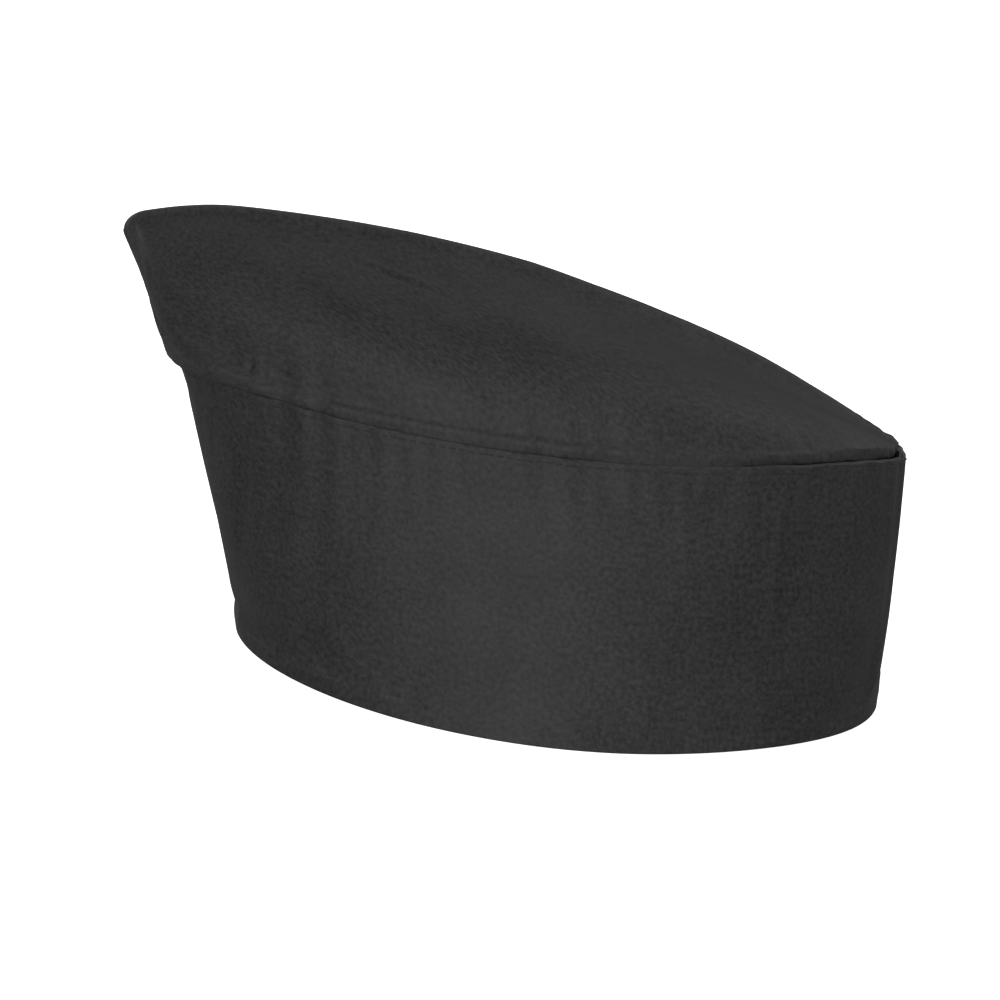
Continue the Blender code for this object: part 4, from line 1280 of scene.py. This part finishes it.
def box_stitches(name, span, low, height, depth, outside, jitter):
    """Stitches round a strip over a span of turns, a topstitch's width inside its edges."""
    inset = TOPSTITCH / GIRTH
    low = low + TOPSTITCH
    turns, slants = box_route((span[0] + inset, span[1] - inset), low,
                              low + height - 2 * TOPSTITCH)
    return wall_stitches(name, turns, slants, depth, outside, jitter)


def make_seam_stitches():
    first = TAIL_END - 1.0 + TUCK_TURNS * 0.4
    turns = spaced(first, TAIL_ROOT - TOPSTITCH / GIRTH, 0.5 * MM / GIRTH)
    slants = np.full(len(turns), BAND_HEIGHT - TOPSTITCH)
    return wall_stitches("crown_seam_stitches", turns, slants, band_tuck(turns), True, 31)


def make_tail_stitches():
    turns = spaced(TAIL_ROOT, TAIL_END - TOPSTITCH / GIRTH, 0.5 * MM / GIRTH)
    top = BAND_HEIGHT - tail_top_drop(turns) - TOPSTITCH
    down = spaced(top[-1], TOPSTITCH, 0.5 * MM)
    turns = np.concatenate([turns, np.full(len(down), turns[-1])])
    return wall_stitches("tail_edge_stitches", turns, np.concatenate([top, down]), 0.0, True, 37)


finish_piece(make_seam_stitches(), "crown_seam_thread", body="hat")
finish_piece(make_tail_stitches(), "tail_edge_thread", bend=BEND)
finish_piece(box_stitches("hook_stitches", hook_span(), STRIP_CENTRE - HOOK_SIZE[1] / 2,
                          HOOK_SIZE[1], 0.0, True, 41),
             "hook_strip_thread", body="tail")
finish_piece(box_stitches("loop_stitches", loop_span(), STRIP_CENTRE - LOOP_SIZE[1] / 2,
                          LOOP_SIZE[1], TUCK + WALL, False, 43),
             "loop_strip_thread", body="hat")
finish_piece(box_stitches("sweatband_stitches", (-SWEATBAND_TURN, SWEATBAND_TURN),
                          SWEATBAND_INSET, SWEATBAND_HEIGHT, WALL + TERRY - 0.1 * MM, False, 47),
             "sweatband_thread", body="hat")


# ------------------------------------------------------------------ stage, lights and camera
def make_floor():
    mesh = bpy.data.meshes.new("floor")
    mesh.from_pydata([(-40, -40, 0), (40, -40, 0), (40, 40, 0), (-40, 40, 0)], [], [(0, 1, 2, 3)])
    g = Graph("pale_floor")
    g.set(Base_Color=(0.90, 0.90, 0.90, 1.0), Roughness=0.9, Specular_IOR_Level=0.1,
          Emission_Color=(1.0, 1.0, 1.0, 1.0), Emission_Strength=1.0)
    mesh.materials.append(g.material)
    floor = bpy.data.objects.new("floor", mesh)
    floor.location = (0.0, 0.0, -0.05 * MM)
    floor.visible_diffuse = False
    floor.visible_glossy = False
    bpy.context.scene.collection.objects.link(floor)


LAMPS = (("front_low", -15, 8, 8.1), ("front_level", 10, 8, 4.7), ("front_side", -50, 15, 2.2),
         ("back_low", 120, 30, 2.6), ("top_left", 60, 55, 2.2), ("top_back", 100, 60, 2.4),
         ("far_side", 190, 40, 1.0), ("far_low", 200, 12, 5.0), ("far_front", -125, 15, 4.0))
LAMP_CENTRE = np.array((0.0, 0.0, 0.06))
LAMP_DISTANCE = 1.5
LAMP_SIZE = 0.9


def make_light(name, azimuth, elevation, power):
    """A round soft box on a sphere round the hat, azimuth from +X towards +Y."""
    level, up = math.radians(azimuth), math.radians(elevation)
    way = np.array((math.cos(up) * math.cos(level), math.cos(up) * math.sin(level), math.sin(up)))
    data = bpy.data.lights.new(name, "AREA")
    data.shape = "DISK"
    data.size = LAMP_SIZE
    data.energy = power
    lamp = bpy.data.objects.new(name, data)
    lamp.location = LAMP_CENTRE + way * LAMP_DISTANCE
    lamp.rotation_euler = Vector(-way).to_track_quat("-Z", "Y").to_euler()
    bpy.context.scene.collection.objects.link(lamp)


CAMERA_PITCH = math.radians(15.61)
CAMERA_ROLL = math.radians(6.99)
CAMERA_DISTANCE = 0.820
CAMERA_TARGET = np.array((0.0, -0.00088, 0.05208))
CAMERA_LENS = 90.3
WORLD_STRENGTH = 0.20


def make_camera():
    """Looks along -X from the hat's left, a little down, with a slight roll."""
    ahead = np.array((-math.cos(CAMERA_PITCH), 0.0, -math.sin(CAMERA_PITCH)))
    level = np.array((0.0, 1.0, 0.0))
    upright = np.cross(level, ahead)
    right = level * math.cos(CAMERA_ROLL) + upright * math.sin(CAMERA_ROLL)
    up = np.cross(right, ahead)
    data = bpy.data.cameras.new("camera")
    data.lens = CAMERA_LENS
    data.sensor_width = 36.0
    data.clip_start = 0.01
    data.clip_end = 200.0
    made = bpy.data.objects.new("camera", data)
    place = CAMERA_TARGET - ahead * CAMERA_DISTANCE
    matrix = np.eye(4)
    matrix[:3, 0], matrix[:3, 1], matrix[:3, 2], matrix[:3, 3] = right, up, -ahead, place
    bpy.context.scene.collection.objects.link(made)
    made.matrix_world = Matrix(matrix.tolist())
    bpy.context.scene.camera = made


def make_world():
    world = bpy.data.worlds.new("studio")
    world.use_nodes = True
    background = world.node_tree.nodes["Background"]
    background.inputs["Color"].default_value = (1.0, 1.0, 1.0, 1.0)
    background.inputs["Strength"].default_value = WORLD_STRENGTH
    bpy.context.scene.world = world


make_floor()
for lamp, azimuth, elevation, power in LAMPS:
    make_light(lamp, azimuth, elevation, power)
make_world()
bpy.context.scene.view_settings.view_transform = "Standard"
make_camera()
